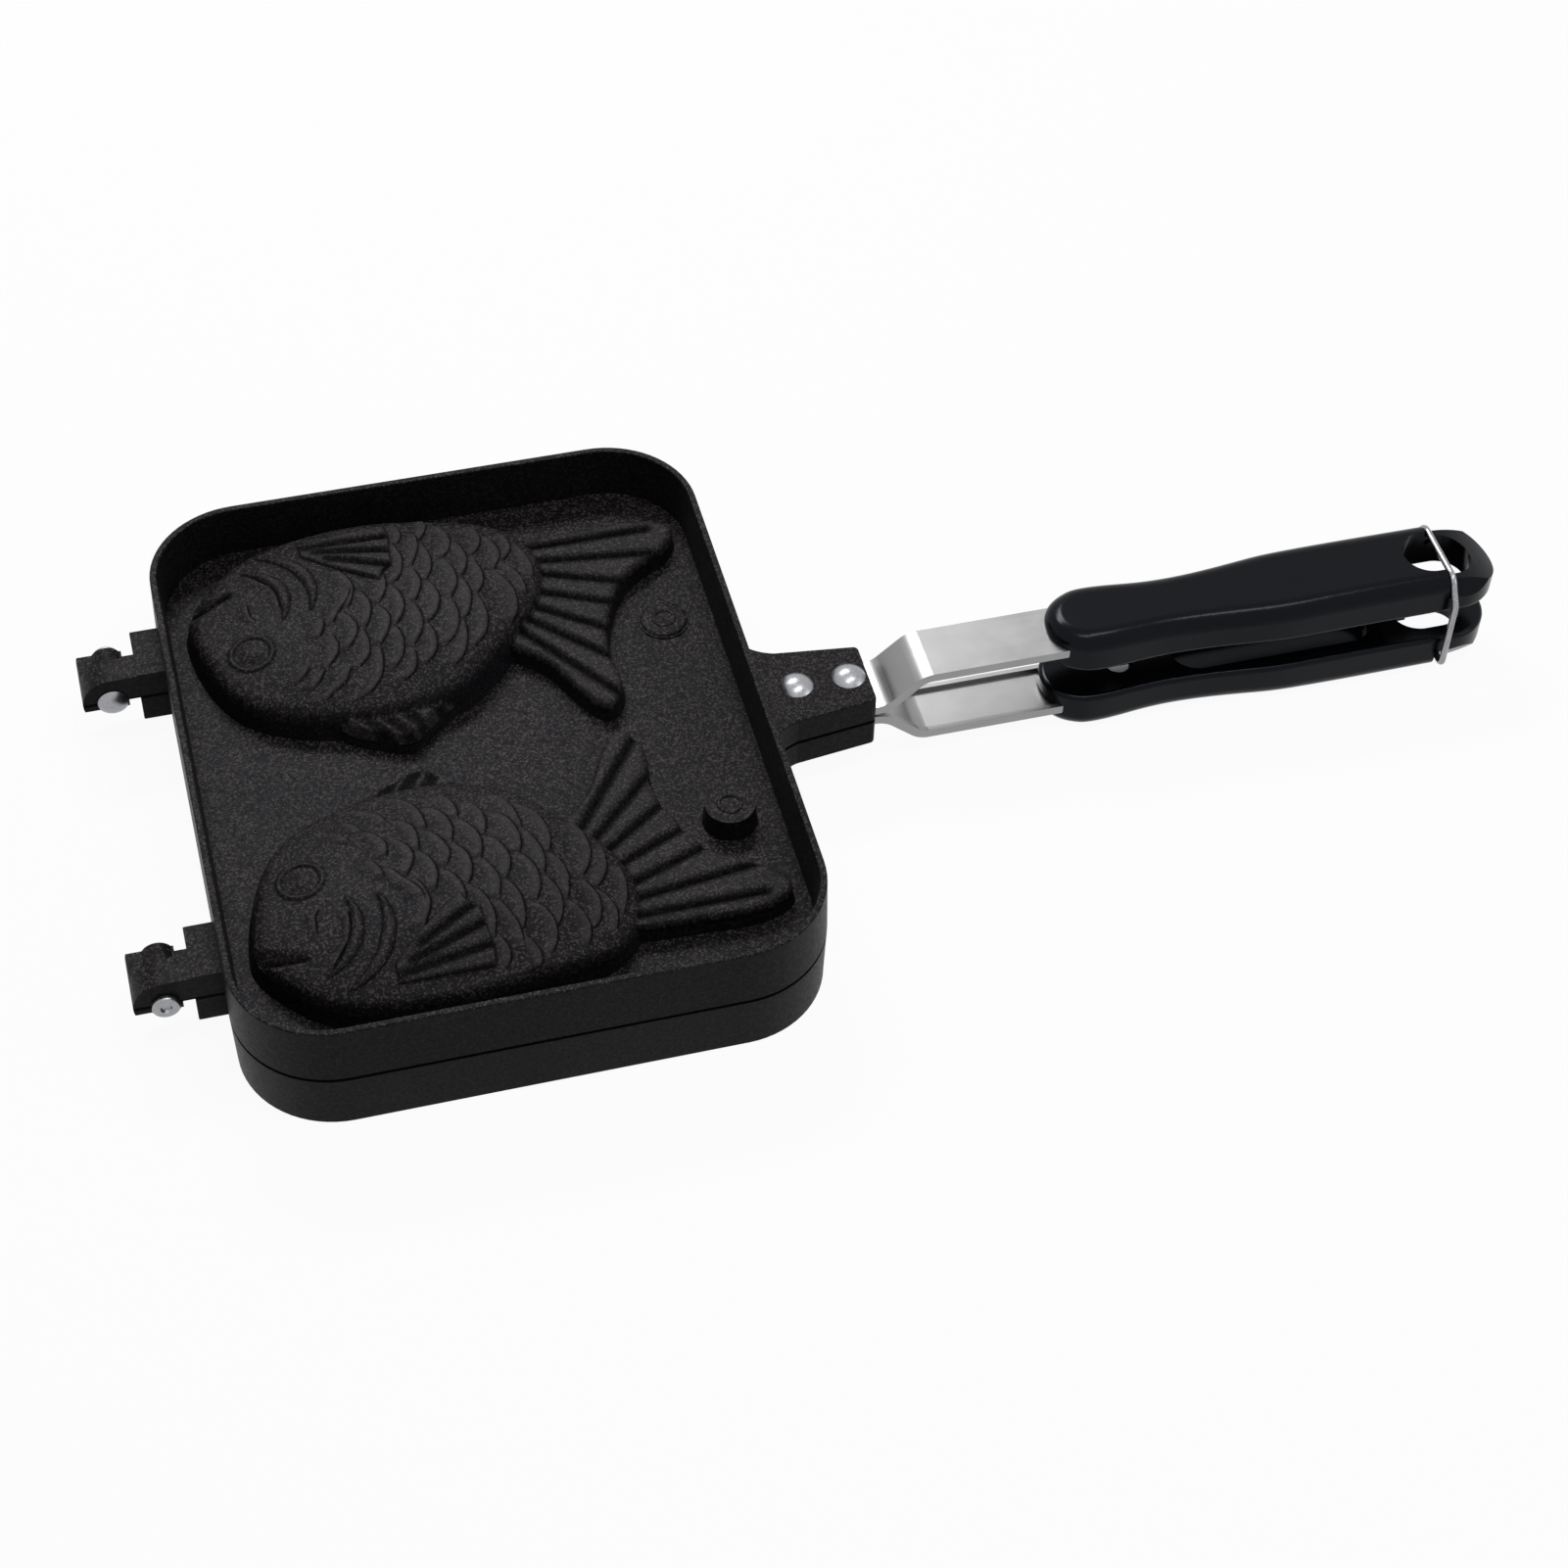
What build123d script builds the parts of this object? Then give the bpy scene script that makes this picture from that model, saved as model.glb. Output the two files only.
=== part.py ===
"""Double-sided taiyaki pan: two cast-aluminium halves hinged at one end, each on a strap and grip.

Millimetres, +Z up. The pan lies closed on the rim of its lower half, with the handle towards +X.
Lengths along X are worked out from the centre of the pan, and place() moves every piece so that
the origin is at the middle of the whole object's footprint.
"""

import math
import os

from build123d import *

# ---------------------------------------------------------------- driving dimensions

# pan castings; heights are above the parting plane of one half
PAN_LENGTH = 125.0            # along the handle, at the parting plane
PAN_WIDTH = 155.0             # across, at the parting plane
PAN_CORNER = 21.3             # corner radius at the parting plane
HALF_HEIGHT = 14.6            # parting plane to rest rim
OUTER_DRAFT = 1.5             # degrees
RIM_THICKNESS = 1.5           # wall at the rest rim
INNER_DRAFT = 4.0             # degrees, inside of the wall
PLATE_THICKNESS = 2.2         # floor that joins the fish to the wall
RIM_ROUND = 0.35
PARTING_BEVEL = 0.4           # outer edge at the parting plane, which shows as a groove when shut

# fish relief; the wall between relief and cavity is even
FISH_WALL = 1.9
FISH_DRAFT = 14.0             # degrees, sides of body and fins
FISH_CROWN = 3.4              # rounding where sides meet the back
FISH_MID = 41.0               # from the pan's long axis to the middle of a body
FISH_CAMBER = 7.0             # how far the back drops towards belly and dorsal edge
CAMBER_HALF = 40.0
FIN_HEIGHT = 3.6              # dorsal fin above the floor plate
TAIL_HEIGHT = 4.6
FIN_ROUND = 0.8
# height of the back above the floor plate at places along the fish
BACK_PROFILE = [
    (-60.0, 6.2), (-43.0, 9.0), (-25.0, 10.9), (-8.0, 11.3), (7.6, 9.9), (20.0, 7.4), (30.0, 6.0),
]
# outlines at the floor plate: along the pan, then outward from its long axis
BODY_OUTLINE = [
    (-56.6, 47.0), (-54.8, 34.5), (-47.0, 19.8), (-32.0, 12.2), (-14.0, 10.2), (2.0, 14.8), (13.0, 25.5),
    (22.5, 38.0), (25.0, 52.0), (20.0, 62.3), (5.0, 68.2), (-12.0, 71.0), (-28.0, 70.2), (-42.0, 66.0),
    (-52.0, 57.0),
]
TAIL_OUTLINE = [
    (8.0, 40.0), (11.8, 27.0), (18.5, 20.6), (24.6, 9.2), (30.6, 3.2), (34.5, 7.6), (34.4, 18.0),
    (37.0, 31.5), (44.5, 43.0), (54.6, 49.8), (56.6, 55.0), (50.5, 59.3), (38.0, 59.7), (25.0, 59.2),
    (12.0, 55.0),
]
FIN_OUTLINE = [
    (-30.0, 16.0), (-26.6, 10.0), (-18.5, 5.4), (-13.6, 3.8), (-8.2, 7.6), (0.0, 14.0), (5.6, 18.6),
    (4.6, 23.6), (-4.0, 24.0), (-18.0, 20.0),
]

# raised forms on the back of the fish
EYE_PLACE = (-43.3, 33.4)
EYE_RING_RADIUS = 5.0
EYE_RING_WIDTH = 0.9
EYE_RING_HEIGHT = 0.35        # above the back
EYE_BALL_RADIUS = 3.7
EYE_BALL_HEIGHT = 0.55
PECTORAL_OUTLINE = [
    (-28.2, 64.4), (-8.8, 64.8), (-8.3, 60.4), (-8.9, 56.8), (-9.3, 51.0), (-11.6, 49.2), (-12.6, 46.9),
    (-21.0, 53.2), (-28.0, 60.0),
]
PECTORAL_ROOT_HEIGHT = 0.3    # above the back
PECTORAL_SLOPE = 2.6          # degrees that it rises away from the head
PECTORAL_GROOVES = [
    ((-27.6, 62.9), (-7.0, 60.5)), ((-25.0, 60.4), (-7.4, 54.9)), ((-22.6, 57.0), (-8.4, 49.5)),
]
# crescent folds of the gill cover: two ends, then the middle of the outer and of the inner edge
GILL_FOLDS = [
    ((-38.0, 63.2), (-28.6, 42.0), (-27.1, 53.2), (-29.8, 53.4)),
    ((-41.5, 58.9), (-35.0, 41.0), (-33.1, 50.4), (-35.6, 50.4)),
]
GILL_HEIGHT = 0.4             # above the back
MOUTH_START = (-60.0, 49.2)
MOUTH_END = (-45.2, 53.4)
MOUTH_DEPTH = 1.0             # below the back, at the snout

# grooves between the rays of tail and dorsal fin
RAY_GROOVE_WIDTH = 1.5
RAY_GROOVE_DEPTH = 0.7
TAIL_GROOVES = [
    ((19.0, 55.7), (50.5, 55.5)), ((19.0, 51.7), (50.0, 47.7)), ((19.0, 48.7), (41.5, 40.2)),
    ((18.0, 43.3), (38.0, 34.2)), ((16.0, 40.2), (36.0, 25.8)), ((14.0, 37.8), (34.5, 17.3)),
    ((12.0, 35.7), (33.4, 6.4)),
]
FIN_GROOVES = [
    ((-25.5, 16.0), (-17.6, 4.8)), ((-21.0, 16.0), (-13.4, 4.6)), ((-16.0, 16.0), (-9.6, 5.6)),
    ((-10.6, 17.0), (-4.4, 9.4)), ((-5.0, 18.0), (0.8, 12.6)),
]

# locating boss with its socket on one side, pin under a shallow disc on the other
LOCATOR_X = 48.6
LOCATOR_Y = 30.6
BOSS_BASE = 12.0
BOSS_TOP = 10.8
BOSS_HEIGHT = 5.2             # above the floor plate
SOCKET_BORE = 6.6
SOCKET_DEPTH = 5.2
PIN_DIAMETER = 5.8
PIN_HEIGHT = 4.4
DISC_DIAMETER = 11.5
DISC_HEIGHT = 0.35

# hinge at the end away from the handle
HINGE_AXIS_X = -74.5
LUG_INNER_Y = 36.5            # each lug's side nearer the long axis
LUG_WIDTH = 13.5
LUG_HEIGHT = 7.0              # also the height of the handle tab
LUG_FACE_X = -68.5            # end of the full-width block
ARM_RADIUS = 6.6
ARM_GAP = 0.4                 # between the two halves' arms
ARM_FLAT = 1.8                # flat of the arm beyond the parting plane
EYE_RADIUS = 3.5
HINGE_PIN_RADIUS = 2.25
PIN_CLEARANCE = 0.05
PIN_HEAD_RADIUS = 3.4
PIN_HEAD_HEIGHT = 1.5
PIN_TAIL_RADIUS = 3.0
PIN_TAIL_HEIGHT = 1.1
PIN_SIDE_GAP = 0.15

# handle tab
TAB_END_X = 87.5
TAB_END_HALF = 8.3
TAB_ROOT_HALF = 10.6
TAB_FLARE = 6.5
TAB_CORNER = 1.2

# pressed strap, a shallow channel
STRAP_THICKNESS = 1.1
STRAP_WIDTH = 13.8
STRAP_FLANGE = 2.2            # depth of the turned edges, thickness included
STRAP_CLEARANCE = 0.2         # each side, in tab and grip
STRAP_START_X = 66.5
STRAP_RISE_START_X = 90.0
STRAP_RISE_END_X = 98.3
STRAP_END_X = 156.0
STRAP_TAB_LEVEL = 2.6         # top of the web in the tab, above the parting plane
STRAP_GRIP_LEVEL = 10.1       # top of the web in the grip
STRAP_BEND = 6.0

# rivets through tab and strap
RIVET_X = [71.3, 83.2]
RIVET_SHANK = 2.0
RIVET_HEAD_RADIUS = 3.75
RIVET_HEAD_HEIGHT = 1.7
RIVET_TAIL_RADIUS = 3.1
RIVET_TAIL_HEIGHT = 1.1

# moulded grips; heights are from the inner face, which faces the other grip
GRIP_GAP = 8.4                # between the two inner faces
GRIP_START_X = 128.6
GRIP_END_X = 235.3
GRIP_FRONT_HALF = 9.3
GRIP_WAIST_HALF = 8.5
GRIP_REAR_HALF = 10.1
GRIP_FRONT_DEPTH = 10.2
GRIP_WAIST_DEPTH = 9.6
GRIP_REAR_DEPTH = 10.1
GRIP_SHOULDER = 3.8
GRIP_WAIST_AT = 24.0          # from the front end to the slimmest place seen from above
GRIP_SWELL_AT = 46.0          # to where the sides have widened again
GRIP_NOSE_AT = 7.0            # to where the rounded front end meets the sides
GRIP_NOSE_RUN = 4.5           # from there to the full front width
GRIP_NOSE_DROP = 0.5          # how much narrower the sides start
GRIP_CREST_AT = [9.0, 30.0, 64.0]    # to the front crest, the waist and the rear crest seen from the side
GRIP_END_DROP = 0.4           # how much lower the crest starts
GRIP_INNER_ROUND = 1.1
RECESS_START_X = 159.4
RECESS_END_X = 207.7
RECESS_WIDTH = 12.6
RECESS_DEPTH = 4.6
EYE_X = 221.5
EYE_LENGTH = 16.5
EYE_WIDTH = 12.6

# screw that holds a grip to its strap
SCREW_X = 147.0
SCREW_SHANK = 1.6
SCREW_HEAD_RADIUS = 3.0
SCREW_HEAD_HEIGHT = 1.8
SCREW_REACH = 2.4             # past the strap

# wire bail that locks the grips together; heights are above the rest surface
WIRE_RADIUS = 0.75
BAIL_X = 222.0
BAIL_PIVOT_Z = 3.8
BAIL_TOP_Z = 28.2
BAIL_HALF = 12.2
BAIL_TOP_HALF = 8.4
BAIL_SHOULDER_Z = 22.4
BAIL_STUB_END = 7.2           # inner end of each stub, from the long axis
BAIL_BEND = 1.5
BAIL_CORNER_BEND = 3.0
BAIL_PIVOT_CLEARANCE = 0.05
BAIL_SWING_CLEARANCE = 0.25

# ---------------------------------------------------------------- worked-out values

PARTING_Z = HALF_HEIGHT
OUTER_INSET = HALF_HEIGHT * math.tan(math.radians(OUTER_DRAFT))
POCKET_DEPTH = HALF_HEIGHT - PLATE_THICKNESS
ARM_END_X = HINGE_AXIS_X - ARM_RADIUS
LUG_OUTER_Y = LUG_INNER_Y + LUG_WIDTH
LUG_MID_Y = LUG_INNER_Y + LUG_WIDTH / 2
ARM_WIDTH = (LUG_WIDTH - ARM_GAP) / 2
INNER_FACE = GRIP_GAP / 2                    # above the parting plane
MIDDLE_X = (ARM_END_X + GRIP_END_X) / 2


def place(part):
    """Moves a piece from the pan's centre line to the object's own origin."""
    return part.moved(Location((-MIDDLE_X, 0, 0)))


def as_upper(part):
    """Stands a half, modelled above the parting plane, on that plane."""
    return part.moved(Location((0, 0, PARTING_Z)))


def as_lower(part):
    """Turns a half over about the long axis and hangs it below the parting plane."""
    return part.rotate(Axis.X, 180).moved(Location((0, 0, PARTING_Z)))


def slab(face, half):
    """Thickens a face drawn on the XZ plane by the same depth both ways along Y."""
    return Pos(0, half, 0) * extrude(face, 2 * half)


def dome(radius, height):
    """Cap of a sphere that stands on z = 0."""
    sphere = (radius**2 + height**2) / (2 * height)
    return split(Pos(0, 0, height - sphere) * Sphere(sphere), Plane.XY, keep=Keep.TOP)


# ---------------------------------------------------------------- fish

def inset(points, distance):
    """Moves each point of a closed outline inward, square to the line through its neighbours."""
    count = len(points)
    turns = sum(
        points[i][0] * points[(i + 1) % count][1] - points[(i + 1) % count][0] * points[i][1]
        for i in range(count)
    )
    side = math.copysign(1.0, turns)
    moved = []
    for i, (x, y) in enumerate(points):
        (ax, ay), (bx, by) = points[i - 1], points[(i + 1) % count]
        length = math.hypot(bx - ax, by - ay)
        moved.append((x - side * (by - ay) / length * distance, y + side * (bx - ax) / length * distance))
    return moved


def drafted(points, shrink, bottom, top):
    """Solid between two levels whose sides lean in by the fish draft."""
    lean = math.tan(math.radians(FISH_DRAFT))
    levels = []
    for z in (bottom, top):
        outline = inset(points, shrink + (z - PLATE_THICKNESS) * lean)
        levels.append(make_face(Spline(*outline, periodic=True)).moved(Location((0, 0, z))))
    return loft(Sketch() + levels)


def fish_back(lowered):
    """Solid under the domed back, lofted through arched sections along the fish."""
    sections = []
    for x, height in BACK_PROFILE:
        crest = PLATE_THICKNESS + height - lowered
        arch = ThreePointArc(
            (-CAMBER_HALF, crest - FISH_CAMBER), (0, crest), (CAMBER_HALF, crest - FISH_CAMBER)
        )
        base = Polyline(arch @ 1, (CAMBER_HALF, -HALF_HEIGHT), (-CAMBER_HALF, -HALF_HEIGHT), arch @ 0)
        plane = Plane(origin=(x, FISH_MID, 0), x_dir=(0, 1, 0), z_dir=(1, 0, 0))
        sections.append(plane * make_face([arch, base]))
    return loft(Sketch() + sections)


def rounded_top(part, radius):
    """Rounds the edges above the floor plate, which run round a form's top."""
    top = part.edges().filter_by(lambda edge: edge.bounding_box().min.Z > PLATE_THICKNESS)
    return fillet(top, radius)


def fish_form(lowered, crown):
    """Body, dorsal fin and tail on the +Y side; lowered moves every face in, for the cavity."""
    body = drafted(BODY_OUTLINE, lowered, 0, HALF_HEIGHT) & fish_back(lowered)
    fin = drafted(FIN_OUTLINE, lowered, 0, PLATE_THICKNESS + FIN_HEIGHT - lowered)
    tail = drafted(TAIL_OUTLINE, lowered, 0, PLATE_THICKNESS + TAIL_HEIGHT - lowered)
    return rounded_top(body, crown), fin, tail


def back_height(x, y):
    """Height of the domed back above the parting plane, for what sits on it."""
    for (ax, low), (bx, high) in zip(BACK_PROFILE, BACK_PROFILE[1:]):
        if x <= bx:
            break
    crest = low + (high - low) * (x - ax) / (bx - ax)
    return PLATE_THICKNESS + crest - FISH_CAMBER * ((y - FISH_MID) / CAMBER_HALF) ** 2


def groove(start, end, width, depth):
    """Straight V-shaped cutter whose mouth runs from start to end."""
    start, end = Vector(*start), Vector(*end)
    along = (end - start).normalized()
    across = Vector(0, 0, 1).cross(along).normalized()
    flare = width                                     # the cutter goes on above its mouth
    wide = width / 2 * (depth + flare) / depth
    section = make_face(Polyline((0, -depth), (wide, flare), (-wide, flare), (0, -depth)))
    return extrude(Plane(origin=start, x_dir=across, z_dir=along) * section, (end - start).length)


def cut_rays(fin, grooves, level):
    """Fin or tail with the grooves between its rays cut into its flat top."""
    for start, end in grooves:
        fin -= groove((*start, level), (*end, level), RAY_GROOVE_WIDTH, RAY_GROOVE_DEPTH)
    return fin


def eye():
    """Ring and ball that stand on the back of the head."""
    x, y = EYE_PLACE
    ring = Pos(x, y, HALF_HEIGHT / 2) * (
        Cylinder(EYE_RING_RADIUS, HALF_HEIGHT) - Cylinder(EYE_RING_RADIUS - EYE_RING_WIDTH, HALF_HEIGHT)
    )
    ring &= fish_back(-EYE_RING_HEIGHT)
    rise_x = (back_height(x + 1, y) - back_height(x - 1, y)) / 2
    rise_y = (back_height(x, y + 1) - back_height(x, y - 1)) / 2
    plane = Plane(origin=(x, y, back_height(x, y) - EYE_BALL_HEIGHT / 2), z_dir=(-rise_x, -rise_y, 1))
    return ring + plane * dome(EYE_BALL_RADIUS, EYE_BALL_HEIGHT * 1.5)


def pectoral_fin():
    """Fin that lies on the flank and rises away from the head, grooved between its rays."""
    root_x = PECTORAL_OUTLINE[0][0]
    start = HALF_HEIGHT / 2
    form = Pos(0, 0, start) * extrude(
        make_face(Polyline(*PECTORAL_OUTLINE, PECTORAL_OUTLINE[0])), HALF_HEIGHT - start
    )
    hinge = Axis((root_x, 0, back_height(root_x, FISH_MID)), (0, 1, 0))
    form &= fish_back(-PECTORAL_ROOT_HEIGHT).rotate(hinge, -PECTORAL_SLOPE)
    for line in PECTORAL_GROOVES:
        mouth = [
            (x, y, back_height(x, y) + PECTORAL_ROOT_HEIGHT
             + (x - root_x) * math.tan(math.radians(PECTORAL_SLOPE)))
            for x, y in line
        ]
        form -= groove(*mouth, RAY_GROOVE_WIDTH, RAY_GROOVE_DEPTH)
    return form


def gill_folds():
    """Crescents that stand on the back, one behind the other."""
    folds = Part()
    for first, last, outer, inner in GILL_FOLDS:
        crescent = make_face([ThreePointArc(first, outer, last), ThreePointArc(last, inner, first)])
        folds += extrude(crescent, HALF_HEIGHT) & fish_back(-GILL_HEIGHT)
    return folds


def fish():
    """Outside of one fish, on the +Y side."""
    body, fin, tail = fish_form(0, FISH_CROWN)
    fin = fillet(fin.faces().sort_by(Axis.Z)[-1].edges(), FIN_ROUND)
    tail = fillet(tail.faces().sort_by(Axis.Z)[-1].edges(), FIN_ROUND)
    mouth = [
        (x, y, back_height(x, y) - depth)
        for (x, y), depth in ((MOUTH_START, FISH_CROWN / 2 + MOUTH_DEPTH), (MOUTH_END, 0))
    ]
    body -= groove(*mouth, 2 * MOUTH_DEPTH, MOUTH_DEPTH)
    body += pectoral_fin() + gill_folds() + eye()
    fin = cut_rays(fin, FIN_GROOVES, PLATE_THICKNESS + FIN_HEIGHT)
    tail = cut_rays(tail, TAIL_GROOVES, PLATE_THICKNESS + TAIL_HEIGHT)
    return body + fin + tail


def fish_cavity():
    """Inside of one fish: the same form without its raised detail, moved in by the wall."""
    body, fin, tail = fish_form(FISH_WALL, FISH_CROWN - FISH_WALL)
    return body + fin + tail


# ---------------------------------------------------------------- casting

def pan_shell():
    """Wall and floor plate of one half, open on the outside."""
    block = extrude(
        RectangleRounded(PAN_LENGTH, PAN_WIDTH, PAN_CORNER), amount=HALF_HEIGHT, taper=OUTER_DRAFT
    )
    block = chamfer(block.faces().sort_by(Axis.Z)[0].edges(), PARTING_BEVEL)
    mouth = OUTER_INSET + RIM_THICKNESS
    pocket_face = Pos(0, 0, HALF_HEIGHT) * RectangleRounded(
        PAN_LENGTH - 2 * mouth, PAN_WIDTH - 2 * mouth, PAN_CORNER - mouth
    )
    pocket = extrude(pocket_face, amount=-POCKET_DEPTH, taper=INNER_DRAFT)
    shell = block - pocket
    rim = shell.edges().filter_by(lambda edge: edge.bounding_box().min.Z > HALF_HEIGHT - 0.01)
    return fillet(rim, RIM_ROUND)


def handle_tab():
    """Tab that carries the strap: flared into the wall, with a channel in its parting face."""
    wall_x = PAN_LENGTH / 2
    sides = []
    for side in (1, -1):
        flare = Bezier(
            (wall_x - OUTER_INSET - RIM_THICKNESS / 2, side * (TAB_ROOT_HALF + TAB_FLARE)),
            (wall_x + 1.0, side * (TAB_ROOT_HALF + TAB_FLARE / 4)),
            (wall_x + TAB_FLARE, side * TAB_ROOT_HALF),
        )
        sides.append(flare)
    near, far = sides[1], sides[0]
    end = Polyline(far @ 1, (TAB_END_X, TAB_END_HALF), (TAB_END_X, -TAB_END_HALF), near @ 1)
    root = Line(near @ 0, far @ 0)
    tab = extrude(make_face([far, end, near, root]), LUG_HEIGHT)
    corners = tab.edges().filter_by(Axis.Z).filter_by(lambda edge: edge.center().X > TAB_END_X - 0.01)
    tab = fillet(corners, TAB_CORNER)
    below = tab.faces().sort_by(Axis.Z)[0].edges().filter_by(lambda edge: edge.center().X > wall_x)
    tab = chamfer(below, PARTING_BEVEL)
    top = tab.faces().sort_by(Axis.Z)[-1].edges().filter_by(lambda edge: edge.center().X > wall_x)
    return fillet(top, RIM_ROUND)


def strap_channel():
    """Room for the strap in the tab, from the parting face up to its seat."""
    width = STRAP_WIDTH + 2 * STRAP_CLEARANCE
    return Pos(STRAP_START_X - STRAP_CLEARANCE, 0, 0) * Box(
        TAB_END_X - STRAP_START_X + 1.0, width, STRAP_TAB_LEVEL, align=(Align.MIN, Align.CENTER, Align.MIN)
    )


def hinge_lug(arm_side):
    """Block on the hinge wall with one arm, on the side of the lug that arm_side names."""
    wall_x = -PAN_LENGTH / 2 + RIM_THICKNESS
    block = Box(wall_x - LUG_FACE_X, LUG_WIDTH, LUG_HEIGHT, align=(Align.MIN, Align.CENTER, Align.MIN))
    block = Pos(LUG_FACE_X, 0, 0) * block
    block = fillet(block.faces().sort_by(Axis.X)[0].edges().filter_by(Axis.Z), RIM_ROUND)
    profile = Plane.XZ * (
        Circle(ARM_RADIUS) & Pos(0, -ARM_FLAT) * Rectangle(
            2 * ARM_RADIUS, 2 * ARM_RADIUS, align=(Align.CENTER, Align.MIN)
        )
    )
    reach = LUG_FACE_X - HINGE_AXIS_X + 1.0
    web = Plane.XZ * Rectangle(reach, ARM_RADIUS, align=(Align.MIN, Align.MIN))
    clear = Plane.XZ * Pos(EYE_RADIUS, 0) * Rectangle(
        reach + ARM_RADIUS, ARM_RADIUS, align=(Align.MIN, Align.MAX)
    )
    eye = Plane.XZ * Circle(EYE_RADIUS)
    bore = Plane.XZ * Circle(HINGE_PIN_RADIUS + PIN_CLEARANCE)
    section = profile - clear + web + eye - bore
    arm = slab(section, ARM_WIDTH / 2)
    arm_middle = arm_side * (LUG_WIDTH - ARM_WIDTH) / 2
    return block + Pos(HINGE_AXIS_X, arm_middle, 0) * arm


def mould_half():
    """One casting, seen with its outside up and its parting face on z = 0."""
    half = pan_shell() + handle_tab()
    for side in (1, -1):
        half += Pos(0, side * LUG_MID_Y, 0) * hinge_lug(-1)
    relief = fish()
    cavity = fish_cavity()
    half += relief + mirror(relief, Plane.XZ)
    boss = Cone(BOSS_BASE / 2, BOSS_TOP / 2, BOSS_HEIGHT, align=(Align.CENTER, Align.CENTER, Align.MIN))
    disc = Cylinder(DISC_DIAMETER / 2, DISC_HEIGHT, align=(Align.CENTER, Align.CENTER, Align.MIN))
    half += Pos(LOCATOR_X, -LOCATOR_Y, PLATE_THICKNESS) * boss
    half += Pos(LOCATOR_X, LOCATOR_Y, PLATE_THICKNESS) * disc
    half -= cavity + mirror(cavity, Plane.XZ)
    socket = Cylinder(SOCKET_BORE / 2, SOCKET_DEPTH, align=(Align.CENTER, Align.CENTER, Align.MIN))
    half -= Pos(LOCATOR_X, -LOCATOR_Y, 0) * socket
    pin = Cylinder(PIN_DIAMETER / 2, PIN_HEIGHT, align=(Align.CENTER, Align.CENTER, Align.MAX))
    pin = chamfer(pin.faces().sort_by(Axis.Z)[0].edges(), PIN_DIAMETER / 6)
    half += Pos(LOCATOR_X, LOCATOR_Y, 0) * pin
    half -= strap_channel()
    for x in RIVET_X:
        half -= Pos(x, 0, 0) * Cylinder(RIVET_SHANK, 2 * LUG_HEIGHT)
    return half


# ---------------------------------------------------------------- hinge pins

def hinge_pin(head_side):
    """Headed pin along Y through one lug; its tail is rolled over on the other side."""
    length = LUG_WIDTH + 2 * PIN_SIDE_GAP
    pin = slab(Plane.XZ * Circle(HINGE_PIN_RADIUS), length / 2)
    flat = length / 2
    pin += Pos(0, flat, 0) * (Rot(-90, 0, 0) * dome(PIN_HEAD_RADIUS, PIN_HEAD_HEIGHT))
    tail = Pos(0, -flat, 0) * (Rot(90, 0, 0) * Cylinder(
        PIN_TAIL_RADIUS, PIN_TAIL_HEIGHT, align=(Align.CENTER, Align.CENTER, Align.MIN)
    ))
    tail = fillet(tail.faces().sort_by(Axis.Y)[0].edges(), PIN_TAIL_HEIGHT * 0.6)
    dimple = Pos(0, -flat - PIN_TAIL_HEIGHT, 0) * (Rot(90, 0, 0) * Cone(
        PIN_TAIL_RADIUS * 0.3, PIN_TAIL_RADIUS * 0.55, PIN_TAIL_HEIGHT
    ))
    pin += tail
    pin -= dimple
    if head_side < 0:
        pin = mirror(pin, Plane.XZ)
    return pin


# ---------------------------------------------------------------- strap and rivets

def strap_line(offset):
    """Run of the strap seen from the side, offset below the top of its web."""
    lean = math.atan2(STRAP_GRIP_LEVEL - STRAP_TAB_LEVEL, STRAP_RISE_END_X - STRAP_RISE_START_X)
    shift = offset * math.tan(lean / 2)
    points = [
        (STRAP_START_X, STRAP_TAB_LEVEL - offset),
        (STRAP_RISE_START_X + shift, STRAP_TAB_LEVEL - offset),
        (STRAP_RISE_END_X + shift, STRAP_GRIP_LEVEL - offset),
        (STRAP_END_X, STRAP_GRIP_LEVEL - offset),
    ]
    return FilletPolyline(*points, radius=[STRAP_BEND + offset, STRAP_BEND - offset])


def strap_band(depth, width):
    """Solid band that follows the strap's run, from the top of its web down to depth."""
    upper, lower = strap_line(0), strap_line(depth)
    ends = [Line(upper @ 1, lower @ 1), Line(lower @ 0, upper @ 0)]
    return slab(Plane.XZ * make_face([upper, *ends, lower]), width / 2)


def strap():
    """Channel section: a web with a short turned edge down each side."""
    web = strap_band(STRAP_THICKNESS, STRAP_WIDTH)
    edge = strap_band(STRAP_FLANGE, STRAP_THICKNESS)
    shift = (STRAP_WIDTH - STRAP_THICKNESS) / 2
    channel = web + Pos(0, shift, 0) * edge + Pos(0, -shift, 0) * edge
    for x in RIVET_X:
        channel -= Pos(x, 0, 0) * Cylinder(RIVET_SHANK, 2 * LUG_HEIGHT)
    channel -= Pos(SCREW_X, 0, STRAP_GRIP_LEVEL) * Cylinder(SCREW_SHANK, 2 * STRAP_FLANGE + 1)
    return channel


def rivet():
    """Dome-headed rivet on the tab's top, upset under the strap."""
    shank_bottom = STRAP_TAB_LEVEL - STRAP_THICKNESS
    grip_length = LUG_HEIGHT - shank_bottom
    body = Pos(0, 0, shank_bottom) * Cylinder(
        RIVET_SHANK, grip_length, align=(Align.CENTER, Align.CENTER, Align.MIN)
    )
    body += Pos(0, 0, LUG_HEIGHT) * dome(RIVET_HEAD_RADIUS, RIVET_HEAD_HEIGHT)
    body += Pos(0, 0, shank_bottom) * Cylinder(
        RIVET_TAIL_RADIUS, RIVET_TAIL_HEIGHT, align=(Align.CENTER, Align.CENTER, Align.MAX)
    )
    return body


# ---------------------------------------------------------------- grips

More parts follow.
